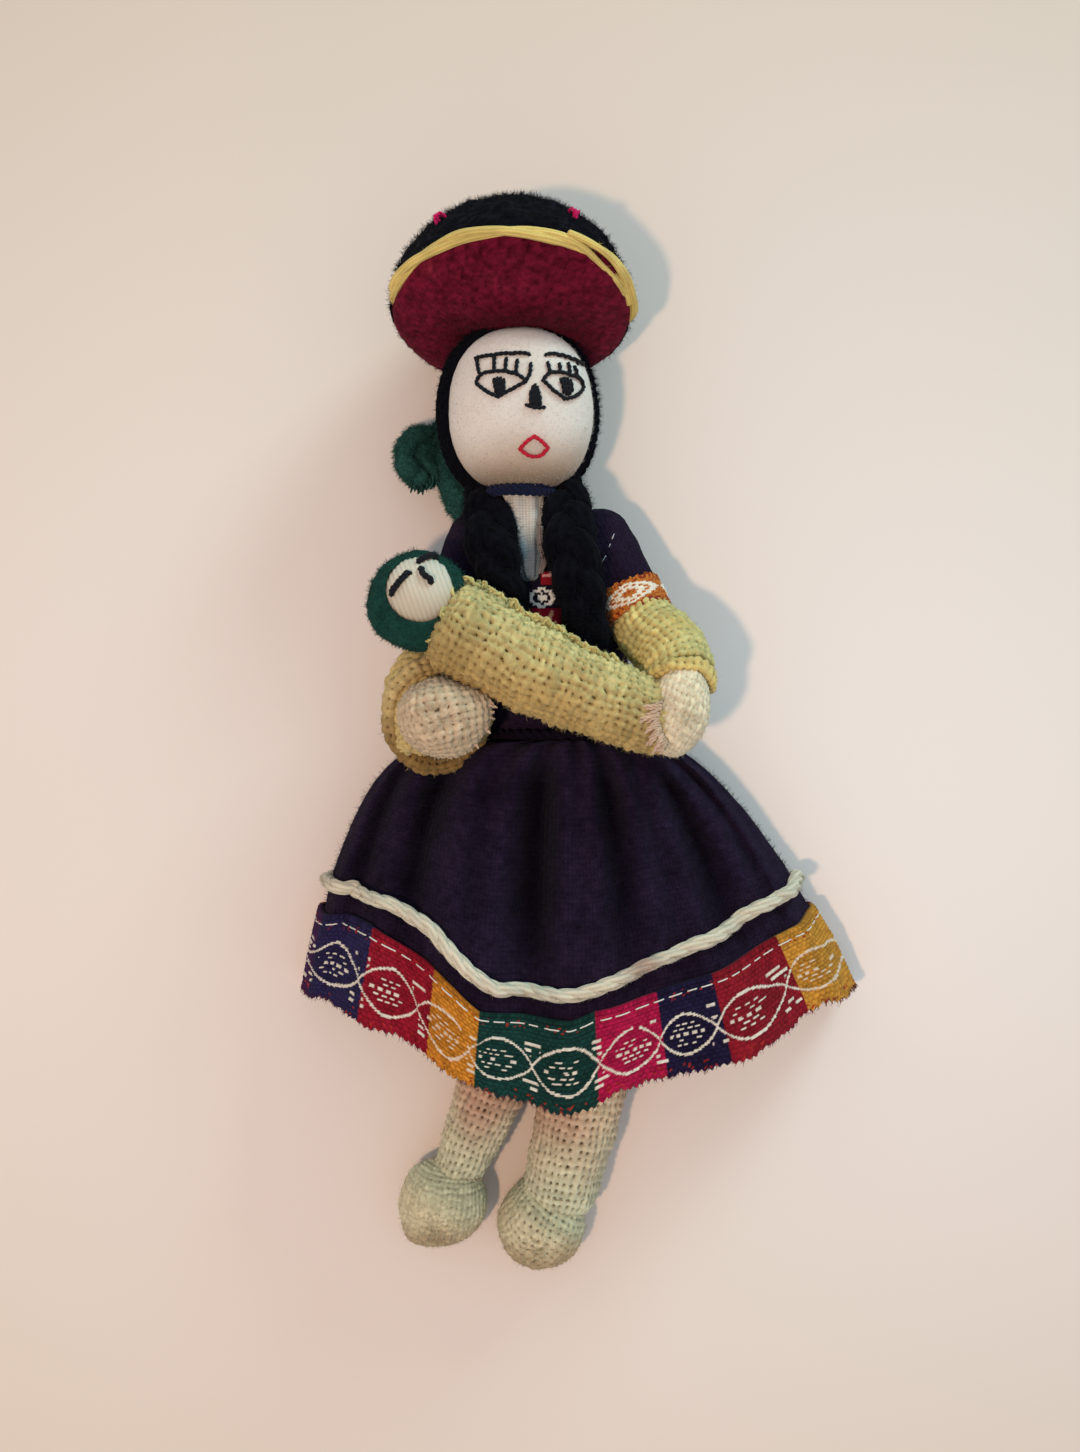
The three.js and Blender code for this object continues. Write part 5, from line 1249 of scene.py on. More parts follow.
def add_fringe(mesh, pixels, z, ways, count, length, colour, seed):
    """Loose thread ends that hang from a gathered edge. The edge follows pixels of the photograph."""
    line = spline([at_pixel(*p, z) for p in pixels], count)
    for k in range(count):
        chance = [float(random_of(k, seed + n)) for n in range(6)]
        way = mix(np.array(ways[0], float), np.array(ways[1], float), k / (count - 1))
        way = unit(way + 0.35 * (np.array(chance[:3]) - 0.5))
        size = length * (0.6 + 0.8 * chance[3])
        side = np.array([way[1], -way[0], 0.0]) * (chance[4] - 0.5) * 1.2
        start = line[k] - way * 1.2 - np.array([0, 0, 0.6])
        path = spline([start, line[k] + side * 0.3 + np.array([0, 0, 0.25]), line[k] + way * size + side], 16)
        add_yarn(mesh, path, np.linspace(0.36, 0.26, 16), 2, 1.8, colour=colour * (0.85 + 0.3 * chance[5]), step=0.25)


mesh = ball_form(at_pixel(680, 711, 31.2), (4.7, 7.9, 5.0), -14, 1.15, 0.3, HAND, 110, (0.1, -0.1, 1), 900, 0.9,
                 grain=25, gap=0.46, deep=0.6)
add_fringe(mesh, [(656, 704), (653, 718), (656, 734), (664, 748)], 36.0, ([-1, -0.25, -0.1], [-0.5, -1, -0.1]), 22,
           1.9, linear("b99c82"), 40)
piece(mesh, "hand_weave_left", coarse_cloth, "arms", ["hand_left"])
# the doll's right hand has a darker copy of the hand colour: painted shade
mesh = ball_form([-22.6, 3.5, 30.6], (7.5, 6.9, 6.5), 12, 1.5, 0.42, linear("b39c7e"), 120, (0, -0.1, 1), 900, 1.3,
                 grain=-14)
add_fringe(mesh, [(490, 700), (488, 722), (474, 742), (452, 754)], 32.0, ([0.8, -0.5, -0.3], [0, -1, -0.3]), 13,
           0.9, linear("b79c82"), 50)
piece(mesh, "hand_weave_right", coarse_cloth, "arms", ["hand_right"])

# Baby

BUNDLE_HEAD, BUNDLE_FOOT = np.array([-19.6, 19.0, 31.2]), np.array([14.5, 3.4, 29.4])


def bundle_tint(P):
    """Greener along the upper edge and browner and darker towards the lower one, which is painted shade, and darker at
    both
    ends: painted shade beside the hood and beside the left hand.
    """
    across = (P[..., 0] + 2.5) * 0.416 + (P[..., 1] - 11.2) * 0.909
    along = (P[..., 0] + 2.5) * 0.909 - (P[..., 1] - 11.2) * 0.416
    share = smooth(-8, 6, across + 2.5 * noise3(P, 7.0, 133))[..., None]
    tone = mix(linear("a68a54"), linear("bbac74"), share)
    # painted shade: darker at the end beside the hood and at the end under the hand
    return tone * (1 - 0.14 * smooth(-8, -19, along) - 0.10 * smooth(10, 18, along))[..., None]


_, bundle_points, bundle_normals = woven_form("bundle_weave", [
    [*BUNDLE_HEAD, 7.6, 6.4],
    [*(mix(BUNDLE_HEAD, BUNDLE_FOOT, 0.35) + [0, -1.4, 0]), 7.4, 6.5],
    [*(mix(BUNDLE_HEAD, BUNDLE_FOOT, 0.7) + [0, -1.1, 0]), 6.6, 6.1],
    [*(BUNDLE_FOOT + [0.4, -0.4, 0]), 6.0, 5.6],
], 1.65, 0.66, bundle_tint, "arms", "mustard_weave", ["baby_bundle", "baby_stuffing"], 130, 6000, 0.6, wrinkle=0.8,
    wander=0.58, gap=0.43, deep=0.98)
bundle_way = unit(BUNDLE_HEAD - BUNDLE_FOOT)
BABY = BUNDLE_HEAD + bundle_way * 7.4 + np.array([0, 2.6, 0])
BABY_R = 6.6
D = egg(120, 170)[0]
P = BABY + D * BABY_R
ribs = 0.07 * np.sin(2 * np.pi * (P[..., 0] * 0.95 + P[..., 1] * 0.35) / 0.85)
P = P + D * (ribs + 0.12 * fractal(P, 5.0, 140))[..., None]
baby_colour = mix(linear("cdc2ac"), linear("b5a387"), (smooth(4, -6, P[..., 1] - BABY[1]) * 0.6)[..., None])
mesh = Mesh()
# the colour follows the ribs' relief: painted shade between the ribs, painted highlight on them
add_grid(mesh, P, baby_colour * (0.93 + 0.9 * ribs)[..., None], uv=(0.24, 0.17))
baby_tree = tree_of(piece(mesh, "baby_face_cloth", baby_cloth, "arms", ["baby_head"]))
for name, pixels in (
    ("eye_right", [(392.2, 594.0), (399.5, 584.5), (409.0, 573.5)]),
    ("eye_left", [(419.0, 562.6), (427.5, 559.4), (437.5, 557.8)]),
    ("nose", [(420.6, 569.5), (424.8, 576.0), (430.6, 582.6)]),
):
    mesh = Mesh()
    add_stitches(mesh, baby_tree, pixels, 0.56, 9.0, BLACK, 0.3, 8, (418, 590))
    piece(mesh, f"baby_stitch_{name}", thread_cloth, "arms", [f"baby_{name}"])

# Hood: a roll of green felt round the face, deep at the side away from the bundle

a, share = np.linspace(0, 2 * np.pi, 150, endpoint=False)[None, :], np.linspace(0, 1, 70)[:, None]
opening = np.radians(55)
pole = unit(np.array([0.05, 0.24, 1.0]))
side = unit(np.cross([0, 1, 0], pole))
D = round_pole(opening + (np.pi * 0.985 - opening) * share, a, pole, side, np.cross(pole, side))
grow = BABY_R + 0.45 + 1.5 * np.sin(np.clip(share * 3.0, 0, 1) * np.pi / 2)
deeper = smooth(0.2, -0.9, D @ unit(np.array([0.35, 0.9, 0.0])))
P = BABY + D * (grow + deeper * smooth(0, 0.3, share))[..., None] + np.array([-0.3, -0.5, -0.4])
N = outward(P)
P = P + N * (0.34 * fractal(P, 1.5, 150) + 0.4 * fractal(P, 4.0, 151))[..., None]
shade = (0.85 + 0.35 * fractal(P, 2.0, 152))[..., None]
mesh = Mesh()
add_shell(mesh, P, GREEN * shade, BABY + D[::-7] * (BABY_R + 0.25), GREEN, (0.3, 0.3))
add_fuzz(mesh, P, N, 0.9, 0.04, GREEN * 1.4, 61, count=5000)
hood = piece(mesh, "baby_hood_felt", felt, "arms", ["baby_hood"])

# Loose loops of yarn along the cut edge of the bundle's cloth

rows = len(bundle_points)
U, V = pixel_of(bundle_points)
outer_edge = 0.417 * U - 0.909 * V
loops = []
for share in np.linspace(0.10, 0.66, 36):  # along the upper edge
    j = int(share * rows)
    i = int(np.argmax(outer_edge[j]))
    p, n = bundle_points[j, i], bundle_normals[j, i]
    loops.append((p - 0.5 * n, unit(n + [0, 0, 0.5]), unit(bundle_points[j + 2, i] - p)))
j = int(0.085 * rows)
for i in np.where(bundle_normals[j][:, 2] > -0.1)[0][::24]:  # round the end beside the hood
    p, n = bundle_points[j, i], bundle_normals[j, i]
    loops.append((p - 0.3 * n, unit(n + 0.7 * bundle_way), unit(np.cross(bundle_way, n))))
mesh = Mesh()
t = np.linspace(0, 2 * np.pi, 14)
for k, (p, n, along) in enumerate(loops):
    tall = 0.6 + 0.9 * float(random_of(k, 9))
    lean = 1.6 * (float(random_of(k, 10)) - 0.5)
    out = 1 - np.cos(t)
    loop = p + np.outer(0.75 * np.sin(t) + lean * out * 0.3, along) + np.outer(tall * out * 0.5, n)
    loop = loop + np.outer(0.3 * np.sin(t + k), np.cross(n, along))
    tone = MUSTARD_GREEN * (0.8 + 0.3 * float(random_of(k, 12)))
    add_yarn(mesh, loop, 0.46, 2, 2.6, colour=tone, up=(0.2, 0.1, 1), step=0.25, sides=9, strands=3)
    add_fuzz(mesh, loop, unit(loop - p + n), 0.9, 0.03, tone, 300 + k, count=14)
piece(mesh, "bundle_edge_loops", yarn_cloth, "arms")

# Skirt

WAIST = np.array([0.0, -1.0])
SKIRT_LENGTH, SKIRT_SIDE = 64.0, 46.8
RIGHT_HALF, LEFT_HALF = 50.0, 53.5
WAIST_Z, HEM_Z = 25.0, 30.5
SKIRT_WALL, BAND_WALL, GAP = 1.1, 0.8, 0.3
FOLD_DEPTH, FOLDS = 1.5, 13
BAND_WIDTH, TRIM_FROM_HEM, HEM_INSET, TRIM_R = 15.6, 20.5, 3.0, 1.25


def skirt_length(angle):
    """The cloth's length from waist to hem: long down the front, short at the sides and the back."""
    across, rise = np.cos(angle), np.maximum(0, np.sin(angle))
    fall = np.where(across < 0, rise**3.4, np.where(rise > 0, 1 - np.abs(across) ** 1.3, 0))
    return mix(SKIRT_SIDE, SKIRT_LENGTH, fall)


# valleys that run from the waist down the front: place and width in degrees, and depth
CREASES = [(150, 4.5, 2.0), (131, 5.4, 3.7), (114, 4.0, 1.6), (99, 5.0, 3.9), (77, 5.0, 3.6), (64, 3.8, 1.4),
           (50, 5.4, 3.6), (31, 4.5, 2.0)]
DEEP_CREASE = 3.7


def creased(angle):
    """How deep the valleys are at an angle."""
    degrees = np.degrees(np.mod(angle, 2 * np.pi))
    return sum(deep * np.exp(-(((degrees - place) / width) ** 2)) for place, width, deep in CREASES)


def skirt_point(share, angle):
    """A point of the skirt's outer face, with the pleats of the gathered waist."""
    share, angle = np.broadcast_arrays(np.asarray(share, float), np.asarray(angle, float))
    across, rise = np.cos(angle), np.sin(angle)
    start = 13.7 + 2 * GAP + SKIRT_WALL
    width = np.where(across < 0, mix(start, RIGHT_HALF, share**0.26), mix(start, LEFT_HALF, share**0.60))
    top = mix(WAIST_Z, HEM_Z, share**0.7)
    length = skirt_length(angle)
    near_trim = np.exp(-((((1 - share) * length - TRIM_FROM_HEM) / 4.5) ** 2))
    low = mix(GAP + BAND_WALL - 0.3, 2 * TRIM_R + 1.7 * GAP, near_trim)
    side_height = 3.4 + 1.5 * (1 - share)
    fold = np.cos(FOLDS * angle + 0.6 * np.sin(3 * angle)) * (FOLD_DEPTH * share**0.6)
    # gathers: fine pleats at the waist that run out down the skirt
    pleat = np.cos(23 * angle + 2.0 * np.sin(4 * angle)) * 1.3 * np.exp(-((share / 0.45) ** 1.7))
    broad = np.cos(9 * angle + 0.4 + 0.8 * np.sin(2 * angle)) * 1.5 + 0.5 * np.cos(19 * angle)
    broad = broad * smooth(0.08, 0.3, share) * smooth(0.92, 0.5, share)
    creases = -creased(angle) * smooth(0.02, 0.16, share) * smooth(0.86, 0.40, share)
    lift = (pleat + broad + creases) * np.clip(2.2 * rise, 0, 1)
    up = np.maximum(rise, 0)
    z_up = mix(low + side_height, top, up**0.85) + fold * np.minimum(1, 2 * up) + lift
    z_down = mix(low + side_height, low, np.maximum(-rise, 0) ** 0.4)
    x = WAIST[0] + width * across * np.where(rise >= 0, 1, 1 + 0.04 * (1 + rise) * rise)
    y = WAIST[1] - length * share - np.where(rise >= 0, fold * 0.3 * rise, 0)
    return np.stack([x, y, np.where(rise >= 0, z_up, z_down)], -1)


def skirt_rows(share_at, values, offset, cols):
    """Rows of points, moved out square to the cloth. `share_at` tells how far down a value's row lies at an angle."""
    angle = circle(cols)[None, :]
    rows = []
    for value in values:
        here, before, after = (skirt_point(np.clip(share_at(value, a), 0, 1), a)
                               for a in (angle, angle - 0.02, angle + 0.02))
        along = after - before
        out = unit(np.stack([along[..., 2], 0 * along[..., 0], -along[..., 0]], -1))
        rows.append((here + out * offset)[0])
    return np.stack(rows)


def down_skirt(share, angle):
    """Rows at shares of the length, from the waist to where the band is sewn on."""
    return share * (1 - HEM_INSET / skirt_length(angle))


def from_hem(distance, angle):
    """Rows at lengths from the hem."""
    return 1 - distance / skirt_length(angle)


COLS = 620
shares = np.linspace(0, 1, 130)
P = skirt_rows(down_skirt, shares, 0, COLS)
N = outward(P)
ripple = 0.22 * fractal(P, 7.0, 160) + 0.10 * fractal(P, 2.0, 161)
P = P + N * (ripple * smooth(0, 0.1, shares)[:, None])[..., None]
P[..., 2] = np.maximum(P[..., 2], 0.35)
inner = skirt_rows(down_skirt, shares[::-4], -SKIRT_WALL * 0.8, COLS)
# the gathered edge is drawn in on to the bodice
waist_middle = np.array([0.0, P[0, :, 1].mean(), 12.6])
drawn_in = np.stack([mix(P[0], waist_middle, k * 0.035) + np.array([0, 0.3 * math.sin(k * 0.6), 0])
                     for k in (5, 4, 3, 2, 1)])
round_mm = path_lengths(np.concatenate([P[-1], P[-1][:1]]))
down = np.concatenate([np.linspace(-0.05, -0.01, 5), shares, shares[::-4], [0]]) * 58
# the crests are painted lighter than the valleys: painted shade in the valleys of the folds
valley_here = (smooth(0.02, 0.16, shares) * smooth(0.9, 0.45, shares))[:, None]
valley = np.clip(creased(circle(COLS))[None, :] / DEEP_CREASE * valley_here, 0, 1)
tone = (1.1 + 0.35 * fractal(P, 6.0, 162) + 0.3 * noise3(P, 1.1, 163)) * (1.26 - 0.92 * valley)
mesh = Mesh()
add_shell(mesh, np.concatenate([drawn_in, P]), np.concatenate([drawn_in * 0 + PURPLE, PURPLE * tone[..., None]]),
          inner, PURPLE * 0.8, (round_mm, down))
add_fuzz(mesh, P, N, 1.2, 0.03, PURPLE * 2.2, 71, count=11000)
skirt = piece(mesh, "skirt_cloth", dark_cloth, "torso", ["skirt"])

# Hem band: a warp-faced weave in coloured blocks with white ovals, crossings and dots


def along_view(P, places):
    """How far the front's edge lies off its even curve, in millimetres, for places across the view."""
    u = pixel_of(P)[0]
    return np.interp(u, [p[0] for p in places], [p[1] for p in places]) * smooth(5, 10, P[..., 2])


TOP_EDGE = [(318, -1.2), (371, 2.2), (428, 1.4), (455, 0), (479, -2.0), (520, -1.2), (570, -0.4), (594, 1.0), (657, 0)]
LOW_EDGE = [(305, 0.4), (347, 1.8), (401, 2.2), (473, 1.2), (520, 0), (551, -0.8), (590, 0.8), (612, 2.2), (640, 2.2),
            (672, 0.9), (700, 0.6), (750, 0.8), (780, 1.6), (829, 3.2), (853, 1)]
TRIM_EDGE = [(300, 0), (347, 0.2), (383, 2.4), (431, 2.8), (465, -0.4), (497, -2.8), (548, -1.5), (605, 0),
             (732, 0.8), (786, 0.9), (830, 0)]
MOTIF, CELL_U, CELL_V = 11.6, 0.46, 0.28  # lengths in millimetres along and across the band
DOT_U, DOT_V, KNOT_U, KNOT_V, TOOTH = 1.5, 0.86, 1.1, 0.75, 1.25


def hang_band(P, distance):
    """Lets the band's edges hang as they do in the photograph, down to a cut hem that is uneven, thread by thread."""
    P[..., 1] -= smooth(2.5, 0, distance)[:, None] * ragged[None, :]
    up = distance[:, None] / BAND_WIDTH
    P[..., 1] += mix(along_view(P, LOW_EDGE), along_view(P, TOP_EDGE), up)
    P[..., 2] = np.maximum(P[..., 2], 0.12)


COLS, BAND_ROWS = 1300, 112
outer_d = np.linspace(BAND_WIDTH, 0, BAND_ROWS)
P = skirt_rows(from_hem, outer_d, GAP + BAND_WALL, COLS)
N = outward(P)
middle = P[BAND_ROWS // 2]
mid_u = pixel_of(middle)[0]
arc_mm = path_lengths(middle)
front = np.sin(2 * np.pi * np.arange(COLS) / COLS) > 0
# colour blocks, by where they lie across the photograph, and by length round the back
BLOCKS = [(-1e9, "3a1440"), (314, "272042"), (366, "8c1626"), (430, "bf7826"), (477, "16352f"), (597, "a2143c"),
          (662, "1d1630"), (722, "821722"), (792, "bd802e"), (846, "173a2d")]
BACK_BLOCKS = [2, 3, 1, 4, 5, 6, 7, 3, 2, 1]
block = np.searchsorted([edge for edge, _ in BLOCKS], mid_u, side="right") - 1
back_columns = np.where(~front)[0]
block[back_columns] = [BACK_BLOCKS[int(i) % len(BACK_BLOCKS)] for i in (arc_mm[back_columns] / MOTIF)]
palette = np.array([linear(c) for _, c in BLOCKS])
# ovals sit where the photograph has them
OVALS = [(335, 0), (390, 1), (448, 2), (494, 3), (568, 4), (633, 5), (684, 6), (748, 7), (815, 8)]
phase = np.interp(mid_u, [x for x, _ in OVALS], [k for _, k in OVALS])
phase = np.where(mid_u < 335, (mid_u - 335) / 52, phase)
phase = np.where(mid_u > 815, 8 + (mid_u - 815) / 52, phase)
phase[back_columns] = arc_mm[back_columns] / MOTIF
# `across` runs from the motif's middle line towards the waist
u_mm, across = np.broadcast_arrays(arc_mm[None, :], outer_d[:, None] - 6.5)
cell_u, cell_v = np.floor(u_mm / CELL_U), np.floor(across / CELL_V)
cell_mid = (cell_v + 0.5) * CELL_V
place = np.stack([cell_u * CELL_U, cell_mid, cell_mid * 0], -1)
cell_p = phase[None, :] + 0.04 * noise3(place, 4.0, 71)
crest = np.cos(np.pi * cell_p)
wave = (3.9 + 0.5 * noise3(place, 11.0, 72)) * np.sign(crest) * np.abs(crest) ** 0.8
slim = 0.25 + 0.08 * noise3(place, 1.6, 73)
line_a, line_b = ((np.abs(cell_mid - way * wave) < slim) & (random_of(np.floor(u_mm / 1.4), seed) > 0.03)
                  for way, seed in ((1, 3), (-1, 13)))
near_p = cell_p - np.round(cell_p)
dot_v = cell_mid / DOT_V
dot_u = near_p * MOTIF / DOT_U + 0.5 * (np.round(dot_v) % 2) + 0.3 * noise3(place, 2.2, 76)
inside = np.hypot(near_p * MOTIF / 3.9, cell_mid / 2.7) < 0.9
dots = inside & (np.abs(dot_u - np.round(dot_u)) < 0.27) & (np.abs(dot_v - np.round(dot_v)) < 0.17) \
    & (random_of(np.round(dot_u) * 7 + np.round(dot_v) * 3 + np.round(cell_p), 4) > 0.2)
half_p = (cell_p - 0.5) - np.round(cell_p - 0.5)
wedge = (np.abs(cell_mid) > np.abs(wave) + 1.0) & (np.abs(cell_mid) < 4.2) & (np.abs(half_p) < 0.12)
level = cell_mid / 1.12 + 0.5
dashes = wedge & (np.abs(level - np.round(level)) < 0.14) \
    & (random_of(np.floor(u_mm / 1.6) + 5 * np.round(level), 14) > 0.45)
white = line_a | line_b | dots | dashes
colours = palette[block][None] * np.ones((BAND_ROWS, 1, 1))
colours[np.hypot(near_p * MOTIF / 5.0, cell_mid / 3.9) < 0.95] *= 0.86
edge_rows = (np.abs(across + 5.6) < 0.9) | (np.abs(across - 7.4) < 0.7)
colours[edge_rows & (random_of(cell_u * 3 + cell_v * 17, 5) > 0.93)] = linear("9c2a20")
colours[(outer_d > BAND_WIDTH - 1.2)[:, None] & (random_of(cell_u, 8) > 0.3)] *= 0.75
white_tone = linear("cdbfad") * (0.85 + 0.3 * random_of(cell_u + 31 * cell_v, 6))[..., None]
faded = np.isin(block, [3, 8])[None, :, None]  # the white is dull on the orange blocks
white_tone = np.where(faded, mix(white_tone, palette[3], 0.25), white_tone)
knot_row = np.floor(across / KNOT_V)
knot_u = u_mm / KNOT_U + 0.5 * (knot_row % 2) + 0.12 * noise3(place, 3.0, 74)
rib = (np.abs(np.sin(np.pi * knot_u)) * np.abs(np.sin(np.pi * across / KNOT_V))) ** 0.6
# the knots' colour follows their relief: painted shade between the knots, with a random tone for each knot
knot_tone = 0.60 + 0.44 * rib + 0.34 * (random_of(np.floor(knot_u) * 7 + knot_row, 7) - 0.5)
knot_tone = knot_tone + 0.12 * noise3(P, 0.5, 75)
colours = np.where(white[..., None], white_tone, colours * knot_tone[..., None])
P = P + N * (0.30 * rib + 0.15 * white + 0.12 * fractal(P, 3.0, 170))[..., None]
ragged = 1.3 * np.abs((arc_mm / TOOTH) % 1 - 0.5) + 0.5 * (random_of(np.floor(arc_mm / TOOTH), 12) - 0.5)
ragged = ragged + 0.5 * noise1(arc_mm, 8, 9) + 0.4 * noise1(arc_mm, 3, 10)
wavy = 0.7 * noise1(arc_mm, 9.0, 31)[None, :] * smooth(12, 0, outer_d)[:, None] * smooth(4, 10, P[..., 2])
P = P + N * wavy[..., None]
hang_band(P, outer_d)
inner_d = np.linspace(0, BAND_WIDTH, 14)
inner = skirt_rows(from_hem, inner_d, GAP, COLS)
hang_band(inner, inner_d)
mesh = Mesh()
add_shell(mesh, P, colours, inner, palette[block] * 0.7, (np.append(arc_mm, arc_mm[-1] + 0.25), 0.18))
hem_points = P[-3:].reshape(-1, 3)
hem_out = np.broadcast_to(np.array([0, -1.0, 0.2]), hem_points.shape)
pick = np.random.default_rng(5).integers(0, len(hem_points), 1500)
add_fuzz(mesh, hem_points[pick], hem_out[pick], 0.9, 0.05, linear("5a2030"), 72, lie=0.5)
band = piece(mesh, "hem_band_weave", band_cloth, "torso", ["skirt_hem_band"])

# White thread that sews the band on: running stitches near its upper edge

mesh = Mesh()
SEAM_ROW = 12
normals = N[SEAM_ROW]
line = P[SEAM_ROW] + normals * 0.16
s = 0.0
while s < arc_mm[-1] - 3:
    dash = 1.7 + 1.2 * float(random_of(s, 14))
    t = np.linspace(s, s + dash, 9)
    path, normal = (np.stack([np.interp(t, arc_mm, x[:, c]) for c in range(3)], 1) for x in (line, normals))
    path = path + unit(normal) * (0.18 * np.sin(np.linspace(0, np.pi, 9)) - 0.12)[:, None]
    add_tube(mesh, path, 0.13, 6, linear("cfc6b8"), up=(0, 1, 0.1))
    s += dash + 0.8 + 0.7 * float(random_of(s, 15))
piece(mesh, "hem_running_stitches", thread_cloth, "torso")

# White trim yarn

COLS = 420
places = np.arange(COLS)
# it is drawn in where it goes round the sides
seat = TRIM_R * mix(0.35, 1.0, smooth(0.0, 0.5, np.abs(np.sin(circle(COLS)))))
path = skirt_rows(from_hem, [TRIM_FROM_HEM], seat[:, None], COLS)[0]
path[:, 2] = np.maximum(path[:, 2], GAP + TRIM_R)
path[:, 1] += along_view(path, TRIM_EDGE)
path[:, 1] += 0.35 * noise1(places * 0.5, 9.0, 3) * smooth(5, 9, path[:, 2])


def trim_colour(p, k):
    """Off-white that is cooler in places, with one brown stain."""
    s = np.arange(len(p)) * 0.4
    base = WHITE * (1 + 0.10 * noise1(s, 4.0, 8, 7.0 * k))[:, None]
    base = mix(base, linear("a9ab97"), 0.6 * smooth(0.0, 0.7, noise1(s, 14.0, 9))[:, None])
    stain = np.exp(-(((pixel_of(p)[0] - 642) / 17) ** 2)) * (p[:, 2] > 10)
    return mix(base, linear("93796a"), 0.9 * stain[:, None])


mesh = Mesh()
thick = TRIM_R * (1 + 0.08 * noise1(places, 11.0, 12))
add_yarn(mesh, path, thick, 3, 11.0, trim_colour, closed=True, step=0.35, sides=22, spread=0.36, ply=0.70, strands=5)
out = unit(path - np.array([0, -35, 12]))
add_fuzz(mesh, path + out * 0.9, unit(out + [0, 0, 0.5]), 1.0, 0.03, WHITE, 73, count=11000)
piece(mesh, "skirt_trim_wool", yarn_cloth, "torso", ["skirt_trim_yarn"])

# Waist cord, painted darker than the purple cloth round it: painted shade, for the shadow it lies in

a = circle(80)
mesh = Mesh()
cord_path = np.stack([-0.38 + 15.5 * np.cos(a), np.full(80, 0.2), 12.6 + 11.7 * np.sin(a)], 1)
add_yarn(mesh, cord_path, 0.9, 2, 3.6, PURPLE * 0.6, closed=True, up=(0, 1, 0), step=0.5)
piece(mesh, "waist_cord_yarn", wool, "torso", ["waist_cord"])

# Legs and feet

HIP_Y = -15.86
FOOT_RISE = 7.5  # the middle of a foot above the table


def leg(side, name, knee, ankle, ankle_r, sideways, seed, pitch, gap, grain, calf, foot_half):
    """A leg and its foot. `pitch`, `gap` and `grain` are of the foot's cloth."""
    hip, knee, ankle = np.array([side * 7.0, HIP_Y, 10.0]), np.array(knee), np.array(ankle)
    direction = unit(ankle - knee)
    foot = ankle + direction * 7.6 + np.array([sideways, 0, FOOT_RISE - ankle[2]])

    def leg_tint(P):
        # rosy brown in patches, the cloth's own tone, and more of it towards the top and towards the other leg:
        # painted shade under the skirt and between the legs
        rosy_and_shade = 0.9 * noise3(P, 8.0, seed) + 0.05 * (P[..., 1] + 76) - 0.03 * side * (P[..., 0] - knee[0])
        low = smooth(ankle[1] + 15, ankle[1] - 3, P[..., 1] + 3 * noise3(P, 6.0, seed + 2))
        return mix(mix(LEG, LEG_ROSY, smooth(-0.35, 0.8, rosy_and_shade)[..., None]), FOOT_TOP, (0.7 * low)[..., None])

    def foot_tint(P):
        x, y = P[..., 0] - foot[0], P[..., 1] - foot[1]
        top = smooth(-2, 6, y + 0.6 * x + 2 * noise3(P, 6.0, seed))[..., None]
        toe = smooth(-0.5, -6.5, y + 1.5 * noise3(P, 5.0, seed + 1))[..., None]
        return mix(mix(FOOT, FOOT_TOP, 0.8 * top), linear("957c5b"), 0.8 * toe)

    woven_form(f"leg_weave_{name}", [
        [*hip, 6.3], [*mix(hip, knee, 0.55), 6.3], [*(knee + [1.2, 0, 0]), calf],
        [*(mix(knee, ankle, 0.5) + [1.0, 0, 0]), mix(calf, ankle_r, 0.4)],
        [*(ankle + [0.1 * sideways, 0, 0]), ankle_r * 0.97],
    ], 1.6, 0.42, leg_tint, f"leg_{name}", "beige_weave", [f"leg_{name}"], seed, 1500, 0.8, per=5.5, wander=0.42,
        gap=0.38, deep=0.95)
    turn = math.degrees(math.atan2(direction[0], -direction[1]))
    pole = (direction[0] * 0.4, direction[1] * 0.45, 1.0)
    mesh = ball_form(foot, foot_half, turn, pitch, 0.32, FOOT, seed + 5, pole, 1800, 0.8, gather=0.3, grain=grain,
                     tint=foot_tint, gap=gap, wander=0.45)
    # the seam that draws the foot on to the leg
    a = circle(40)[:, None]
    A = unit(np.cross(direction, [0, 0, 1.0]))
    ring = ankle + direction * 0.8 + np.array([sideways * 0.1, 0, 0])
    ring = ring + (ankle_r * 0.99) * (np.cos(a) * A + np.sin(a) * np.cross(A, direction))
    ring[:, 2] = np.maximum(ring[:, 2], 0.5)
    add_yarn(mesh, ring, 0.36, 2, 2.2, FOOT * 0.6, closed=True, up=direction, sides=6)
    piece(mesh, f"foot_weave_{name}", coarse_cloth, f"leg_{name}", [f"foot_{name}"])


leg(1, "left", [2.6, -55.0, 9.6], [-1.2, -85.0, 8.4], 6.6, -3.4, 180, 1.45, 0.40, 38, 7.8, (7.9, 8.2, 8.0))
leg(-1, "right", [-11.8, -54.0, 9.4], [-20.6, -81.6, 7.6], 4.6, -1.0, 200, 1.1, 0.47, 10, 7.0, (7.3, 8.0, 8.0))

# Floor and light


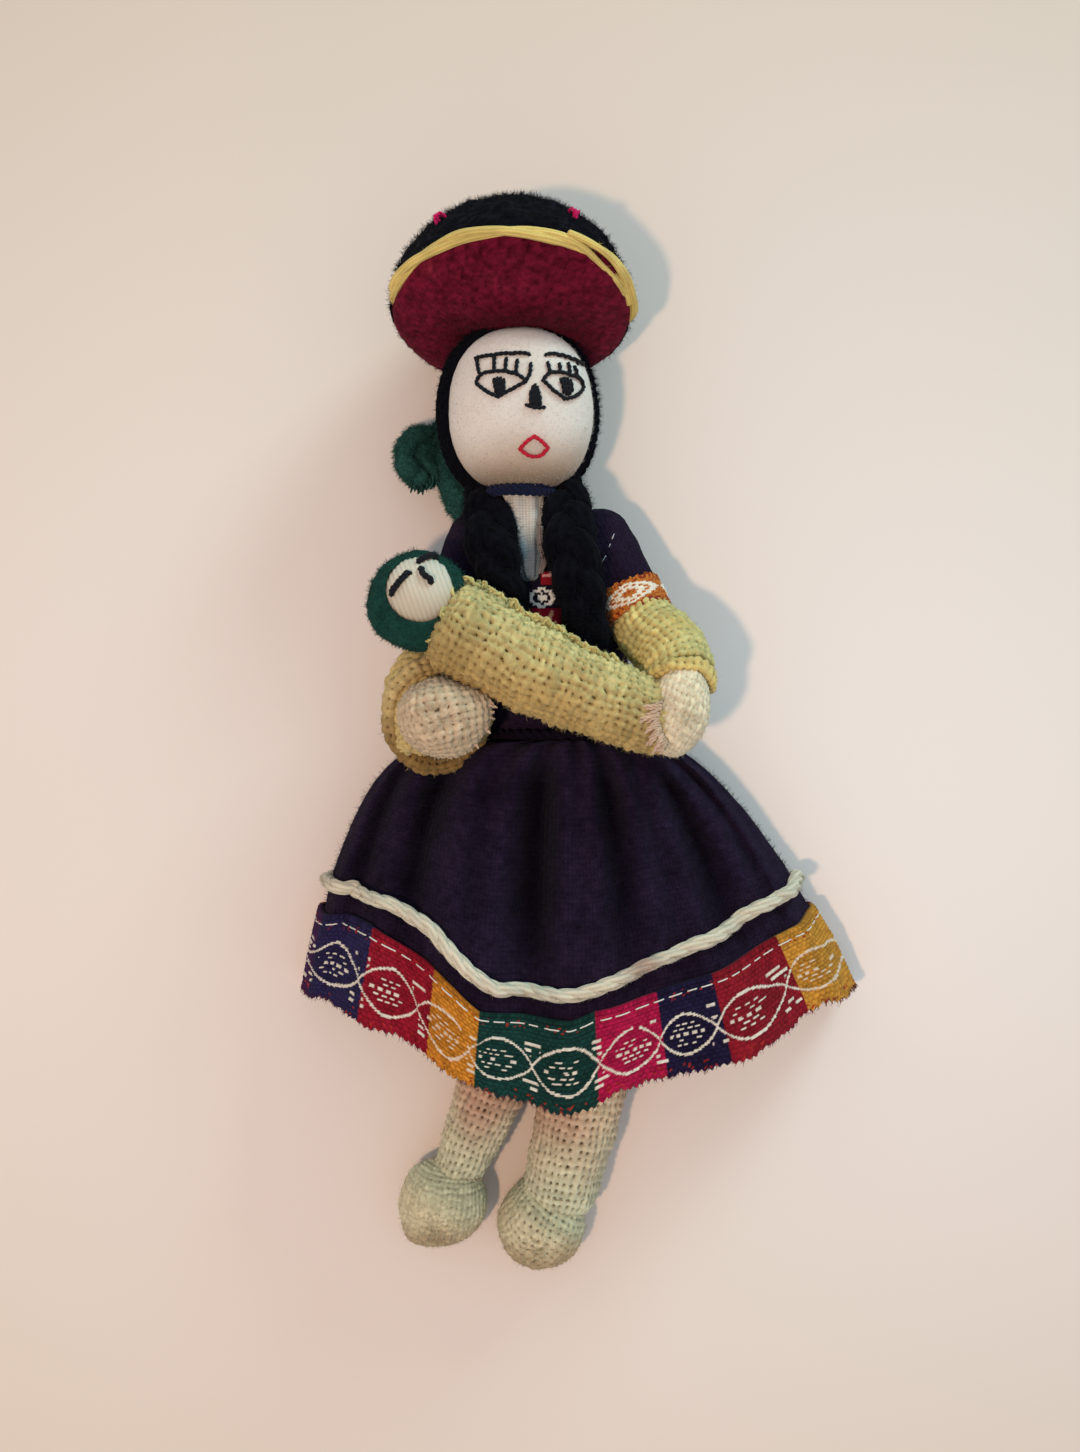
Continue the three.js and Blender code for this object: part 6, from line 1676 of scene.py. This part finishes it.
def floor_material():
    """Paper that is palest under the doll and darker further out: a painted pool of light."""
    material, nodes, link, shader = node_material("floor_paper")
    shader.inputs["Roughness"].default_value = 0.9
    shader.inputs["Specular IOR Level"].default_value = 0.1
    place = nodes.new("ShaderNodeTexCoord")
    mapping = nodes.new("ShaderNodeMapping")
    mapping.inputs["Location"].default_value = (-0.025, 0.012, 0)
    mapping.inputs["Scale"].default_value = (0.8, 1.1, 1)
    link(place.outputs["Object"], mapping.inputs["Vector"])
    length = nodes.new("ShaderNodeVectorMath")
    length.operation = "LENGTH"
    link(mapping.outputs[0], length.inputs[0])
    # painted light: a pale pool under the doll that darkens outwards
    ramp = nodes.new("ShaderNodeValToRGB")
    for stop, position, colour in zip(ramp.color_ramp.elements, (0.02, 0.22), ("e9dbd1", "d2bca7")):
        stop.position, stop.color = position, (*linear(colour), 1)
    link(length.outputs["Value"], ramp.inputs["Fac"])
    link(ramp.outputs[0], shader.inputs["Base Color"])
    return material


FLOOR = 1.5
corners = [(-FLOOR, -FLOOR, 0), (FLOOR, -FLOOR, 0), (FLOOR, FLOOR, 0), (-FLOOR, FLOOR, 0)]
floor_mesh = bpy.data.meshes.new("floor")
floor_mesh.from_pydata(corners, [], [(0, 1, 2, 3)])
floor_mesh.materials.append(floor_material())
floor = bpy.data.objects.new("floor", floor_mesh)
bpy.context.scene.collection.objects.link(floor)
floor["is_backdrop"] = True


def lamp(name, place, watts, size, colour):
    """A round lamp that shines on the doll."""
    data = bpy.data.lights.new(name, "AREA")
    data.shape = "DISK"
    data.size = size
    data.energy = watts
    data.color = colour
    made = bpy.data.objects.new(name, data)
    made.location = place
    made.rotation_mode = "QUATERNION"
    made.rotation_quaternion = (Vector(place) - Vector((0, 0, 0.01))).to_track_quat("Z", "Y")
    bpy.context.scene.collection.objects.link(made)


lamp("key", (-0.15, -0.095, 0.54), 1.36, 0.03, (1.0, 0.68, 0.46))
lamp("fill", (0.49, 0.79, 0.36), 5.6, 0.36, (0.58, 0.93, 1.0))
world = bpy.data.worlds.new("world")
world.use_nodes = True
background = world.node_tree.nodes["Background"]
background.inputs["Color"].default_value = (0.74, 0.86, 1.0, 1)
background.inputs["Strength"].default_value = 0.77
bpy.context.scene.world = world
bpy.context.scene.view_settings.view_transform = "Standard"

low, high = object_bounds()
